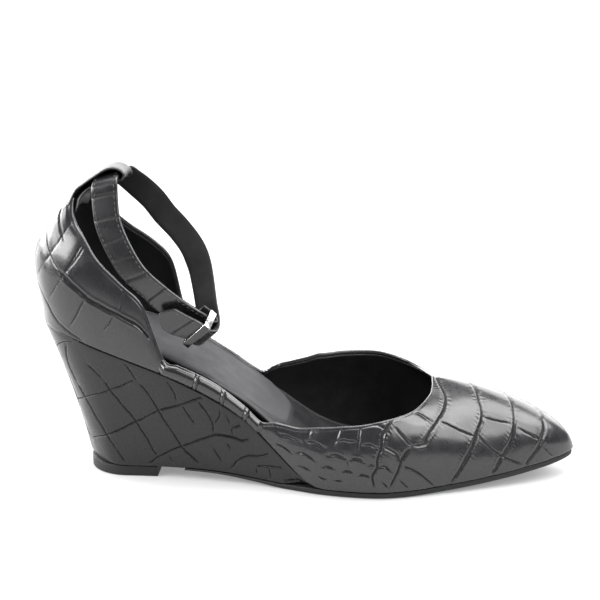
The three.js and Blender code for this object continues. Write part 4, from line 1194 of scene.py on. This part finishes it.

# %% [markdown]
# ## Materials
# Leather is dark, glossy and full of fine pores, and its creases lose their gloss; the shade that falls in
# them is painted in their colour. A painted texture could show that, but it would need a picture. Here all
# leather shares one procedural grain as bump, and the crease value stored in each mesh tells the shader where
# to paint that shade, turn dull and sink.

# %% Node helpers
def node_at(tree, kind, **values):
    """A shader node with the given sockets and settings."""
    node = tree.nodes.new(kind)
    for name, value in values.items():
        if name in node.inputs:
            node.inputs[name].default_value = value
        else:
            setattr(node, name, value)
    return node


def leather_grain():
    """Shader group: height of fine pores and wrinkles from the object's own coordinates."""
    group = bpy.data.node_groups.new("leather grain", "ShaderNodeTree")
    group.interface.new_socket("Scale", in_out="INPUT", socket_type="NodeSocketFloat")
    group.interface.new_socket("Height", in_out="OUTPUT", socket_type="NodeSocketFloat")
    group.interface.new_socket("Mottle", in_out="OUTPUT", socket_type="NodeSocketFloat")
    start, end = group.nodes.new("NodeGroupInput"), group.nodes.new("NodeGroupOutput")
    coordinates = group.nodes.new("ShaderNodeTexCoord")
    cells = node_at(group, "ShaderNodeTexVoronoi", feature="DISTANCE_TO_EDGE")
    fine = node_at(group, "ShaderNodeTexNoise", Detail=4.0, Roughness=0.6)
    broad = node_at(group, "ShaderNodeTexNoise", Scale=140.0, Detail=3.0)
    bigger = node_at(group, "ShaderNodeMath", operation="MULTIPLY")
    bigger.inputs[1].default_value = 0.6
    ramp = node_at(group, "ShaderNodeMapRange")
    ramp.inputs["From Max"].default_value = 0.25
    both = node_at(group, "ShaderNodeMath", operation="MULTIPLY_ADD")
    both.inputs[1].default_value = 0.6
    link = group.links.new
    for texture in (cells, fine, broad):
        link(coordinates.outputs["Object"], texture.inputs["Vector"])
    link(start.outputs["Scale"], cells.inputs["Scale"])
    link(start.outputs["Scale"], bigger.inputs[0])
    link(bigger.outputs[0], fine.inputs["Scale"])
    link(cells.outputs["Distance"], ramp.inputs["Value"])
    link(ramp.outputs[0], both.inputs[0])
    link(fine.outputs["Fac"], both.inputs[2])
    link(both.outputs[0], end.inputs["Height"])
    link(broad.outputs["Fac"], end.inputs["Mottle"])
    return group


GRAIN = leather_grain()


def shaded(name, base, roughness, scale, bump, crease_colour=None, coat=0.0, coat_roughness=0.2, mottle=0.08,
           specular=0.5, crease_span=(0.25, 0.95), crease_bump=0.3):
    """Leather or rubber with its grain and a coat; its crease colour is painted crease shade, but on the
    insole the sock's grey.
    """
    material = bpy.data.materials.new(name)
    material.use_nodes = True
    tree = material.node_tree
    shader = tree.nodes["Principled BSDF"]
    shader.inputs["Coat Weight"].default_value = coat
    shader.inputs["Coat Roughness"].default_value = coat_roughness
    shader.inputs["Specular IOR Level"].default_value = specular
    grain = tree.nodes.new("ShaderNodeGroup")
    grain.node_tree = GRAIN
    grain.inputs["Scale"].default_value = scale
    relief = node_at(tree, "ShaderNodeBump", Strength=1.0, Distance=bump * MM)
    rough = node_at(tree, "ShaderNodeMapRange")
    rough.inputs["From Min"].default_value = 0.3
    rough.inputs["From Max"].default_value = 0.7
    rough.inputs["To Min"].default_value = roughness - mottle
    rough.inputs["To Max"].default_value = roughness + mottle
    link = tree.links.new
    link(grain.outputs["Height"], relief.inputs["Height"])
    link(relief.outputs["Normal"], shader.inputs["Normal"])
    link(grain.outputs["Mottle"], rough.inputs["Value"])
    link(rough.outputs[0], shader.inputs["Roughness"])
    if crease_colour is None:
        shader.inputs["Base Color"].default_value = (*base, 1)
        return material
    # painted shade: the crease colour is mixed in where the stored crease value is low; on the insole it is
    # the sock's own grey
    stored = node_at(tree, "ShaderNodeAttribute", attribute_name="crease")
    line = node_at(tree, "ShaderNodeMapRange", interpolation_type="SMOOTHSTEP")
    line.inputs["From Min"].default_value = crease_span[0]
    line.inputs["From Max"].default_value = crease_span[1]
    blend = node_at(tree, "ShaderNodeMix", data_type="RGBA")
    blend.inputs["A"].default_value = (*crease_colour, 1)
    blend.inputs["B"].default_value = (*base, 1)
    dent = node_at(tree, "ShaderNodeBump", Strength=1.0, Distance=crease_bump * MM)
    link(stored.outputs["Fac"], line.inputs["Value"])
    link(line.outputs[0], blend.inputs["Factor"])
    link(blend.outputs["Result"], shader.inputs["Base Color"])
    link(line.outputs[0], dent.inputs["Height"])
    dull = node_at(tree, "ShaderNodeMath", operation="MULTIPLY_ADD")
    dull.inputs[1].default_value = -0.4
    dull.inputs[2].default_value = 0.4
    rougher = node_at(tree, "ShaderNodeMath", operation="ADD")
    link(line.outputs[0], dull.inputs[0])
    link(rough.outputs[0], rougher.inputs[0])
    link(dull.outputs[0], rougher.inputs[1])
    link(rougher.outputs[0], shader.inputs["Roughness"])
    if coat:
        kept = node_at(tree, "ShaderNodeMath", operation="MULTIPLY")
        kept.inputs[1].default_value = coat
        link(line.outputs[0], kept.inputs[0])
        link(kept.outputs[0], shader.inputs["Coat Weight"])
    link(relief.outputs["Normal"], dent.inputs["Normal"])
    link(dent.outputs["Normal"], shader.inputs["Normal"])
    return material


# %% The shoe's materials
# Colour, roughness, grain scale and grain height first, then the colour in creases and the coat's gloss
BLACK = (0.009, 0.009, 0.010)
# the colours in creases below are painted shade, except on the insole, where it is the sock's own grey
croc = shaded("embossed leather", (0.0095, 0.009, 0.0105), 0.28, 2600, 0.012,
              crease_colour=(0.0008, 0.0008, 0.0008), coat=0.55, coat_roughness=0.18)
wedge_leather = shaded("wedge leather", (0.008, 0.008, 0.009), 0.28, 2600, 0.012,
                       crease_colour=(0.0012, 0.0012, 0.0012), coat=0.22, coat_roughness=0.16, specular=0.32)
band_leather = shaded("soft band leather", BLACK, 0.24, 3000, 0.010,
                      crease_colour=(0.0015, 0.0015, 0.0015), coat=0.6, coat_roughness=0.1)
strap_leather = shaded("strap leather", BLACK, 0.28, 2600, 0.015,
                       crease_colour=(0.001, 0.001, 0.001), coat=0.5, coat_roughness=0.16,
                       crease_span=(0.8, 1.8), crease_bump=0.03)
loop_leather = shaded("loop leather", (0.010, 0.010, 0.011), 0.42, 2600, 0.02,
                      crease_colour=(0.0015, 0.0015, 0.0015), coat=0.1, coat_roughness=0.3)
insole_leather = shaded("satin insole", (0.008, 0.008, 0.009), 0.46, 1500, 0.09,
                        crease_colour=(0.042, 0.041, 0.044), crease_span=(1.0, 3.0), crease_bump=0.0)
# the lining is black leather, and its colour is darker than the outer leather's as painted shade of the
# shoe's inside
lining_leather = shaded("lining", (0.0045, 0.0045, 0.005), 0.42, 2200, 0.05, specular=0.4)
rubber = shaded("black rubber", BLACK, 0.5, 1800, 0.03, specular=0.4)
suede = shaded("suede lining", (0.010, 0.010, 0.010), 0.85, 2600, 0.12, specular=0.25)
thread = shaded("thread", (0.05, 0.05, 0.053), 0.6, 5000, 0.02)

# %% Polished metal, and a darkened copy of it: a painted dark reflection on the side walls of the buckle's long bars
metal = bpy.data.materials.new("polished metal")
metal.use_nodes = True
metal_shader = metal.node_tree.nodes["Principled BSDF"]
metal_shader.inputs["Base Color"].default_value = (0.88, 0.88, 0.87, 1)
metal_shader.inputs["Metallic"].default_value = 1.0
metal_shader.inputs["Roughness"].default_value = 0.16
metal_painted_dark = metal.copy()
metal_painted_dark.name = "metal with painted dark reflection"
metal_painted_dark.node_tree.nodes["Principled BSDF"].inputs["Base Color"].default_value = (0.07, 0.07, 0.07, 1)
print("materials:", ", ".join(material.name for material in bpy.data.materials))

# %% [markdown]
# ## Pieces and the solids they stand for
# The upper is one solid in the model and six pieces here, because the real one is sewn from several. Each
# piece says which solid it replaces, and all ride on the one body, because leather has no joint. The
# stitches replace nothing. Calls could follow each piece, but one table of all pieces is easier to check.

# %% Give every piece its material and body, and hide the node it replaces
pieces = (
    (counter, croc, "upper", "leather"), (vamp, croc, "upper", "leather"),
    (bands[0], band_leather, "upper", "leather"), (bands[1], band_leather, "upper", "leather"),
    (lining, lining_leather, "upper", "lining_leather"), (loop, loop_leather, "upper", "leather"),
    (wedge, wedge_leather, "wedge", "wedge_leather"), (insole, insole_leather, "insole", "lining_leather"),
    (outsole, rubber, "outsole", "sole_rubber"), (top_piece, rubber, "heel_top_piece", "sole_rubber"),
    (strap, strap_leather, "ankle_strap", "leather"), (strap_back, suede, "ankle_strap", "leather"),
    (buckle, metal, "buckle", "polished_metal"),
    (stitches[0], thread, None, "leather"), (stitches[1], thread, None, "leather"),
)
for piece, material, node, slot in pieces:
    piece.data.materials.clear()
    piece.data.materials.append(material)
    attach(piece, "root")
    if node:
        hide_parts(node)
loop.data.materials.append(lining_leather)
buckle.data.materials.append(metal_painted_dark)
# least cosine between a wall's normal and the buckle's inward direction, for the walls painted with a dark
# reflection
DARK_REFLECTION_COSINE = 0.95
for face in buckle.data.polygons:
    face.material_index = int(abs(np.dot(face.normal, BUCKLE_INWARD)) > DARK_REFLECTION_COSINE)
print("pieces:", len(pieces))

# %% [markdown]
# ## Studio
# The photo is a plain product shot: white all round, with soft light from above and behind. Black gloss
# shows little but what it mirrors, so the panels of light are placed for their reflections. One picture of
# a room as the world's light would be quicker, but single panels can be moved one by one. A floor lit by
# lamps alone would turn grey at its edges, so it glows a little.

# %% Floor and surroundings
FLOOR_GREY, FLOOR_GLOW, ROOM_GLOW = 0.36, 0.26, 0.22
bpy.ops.object.select_all(action="DESELECT")
bpy.ops.mesh.primitive_plane_add(size=8, location=(0, 0, -0.0002))
floor = bpy.context.object
floor.name = "floor"
paint = bpy.data.materials.new("white floor")
paint.use_nodes = True
paint_shader = paint.node_tree.nodes["Principled BSDF"]
paint_shader.inputs["Base Color"].default_value = (FLOOR_GREY, FLOOR_GREY, FLOOR_GREY, 1)
paint_shader.inputs["Roughness"].default_value = 0.8
paint_shader.inputs["Emission Color"].default_value = (1, 1, 1, 1)
paint_shader.inputs["Emission Strength"].default_value = FLOOR_GLOW
floor.data.materials.append(paint)

world = bpy.data.worlds.new("white room")
bpy.context.scene.world = world
world.use_nodes = True
world.node_tree.nodes["Background"].inputs["Color"].default_value = (1, 1, 1, 1)
world.node_tree.nodes["Background"].inputs["Strength"].default_value = ROOM_GLOW


# %% Panels of soft light, in metres and watts
def soft_light(name, place, target, size, power):
    """A rectangular lamp turned towards its target."""
    light = bpy.data.lights.new(name, "AREA")
    light.shape = "RECTANGLE"
    light.size, light.size_y = size
    light.energy = power
    lamp = bpy.data.objects.new(name, light)
    bpy.context.collection.objects.link(lamp)
    lamp.location = place
    lamp.rotation_euler = (Vector(target) - Vector(place)).to_track_quat("-Z", "Y").to_euler()


soft_light("overhead", (0.00, -0.05, 1.0), (0.05, -0.02, 0.05), (0.9, 0.7), 5)
soft_light("rear wall", (0.10, 2.6, 1.2), (0.1, 0, 0.1), (5.0, 2.2), 130)
soft_light("rear left", (-0.85, 0.75, 0.45), (-0.03, 0, 0.10), (0.7, 0.8), 14)
soft_light("right overhead", (0.50, 0.06, 0.90), (0.15, 0, 0.03), (0.6, 1.3), 18)
soft_light("left panel", (-0.80, 0.10, 0.34), (-0.03, 0, 0.11), (0.7, 0.4), 10)
soft_light("front left", (-0.70, -0.38, 0.16), (-0.03, 0, 0.10), (0.5, 0.6), 0.4)
soft_light("front left high", (-0.72, -0.38, 0.54), (-0.03, 0, 0.10), (0.75, 0.34), 9)
soft_light("front right high", (0.70, -0.46, 0.62), (0.17, 0, 0.03), (0.7, 0.5), 6)
print("lights:", len(bpy.data.lights))

# %% [markdown]
# ## Camera
# The photo's camera looks down a little and almost square at the outer side. It could be placed by eye. Its
# angles, distance and aim were instead fitted to the outline of the last, so both pictures overlap.

# %% Camera
azimuth, elevation, distance = math.radians(4.27), math.radians(16.71), 0.6695
target = Vector((0.0797, 0, 0.07937))
level_out = math.cos(elevation)
back = Vector((math.sin(azimuth) * level_out, -math.cos(azimuth) * level_out, math.sin(elevation)))
lens = bpy.data.cameras.new("photo camera")
lens.lens = 90
lens.sensor_width = 36
camera = bpy.data.objects.new("photo camera", lens)
bpy.context.collection.objects.link(camera)
camera.location = target + back * distance
camera.rotation_euler = (-back).to_track_quat("-Z", "Y").to_euler()
bpy.context.scene.camera = camera
bpy.context.scene.view_settings.view_transform = "Standard"
print("camera at", [round(v, 3) for v in camera.location])
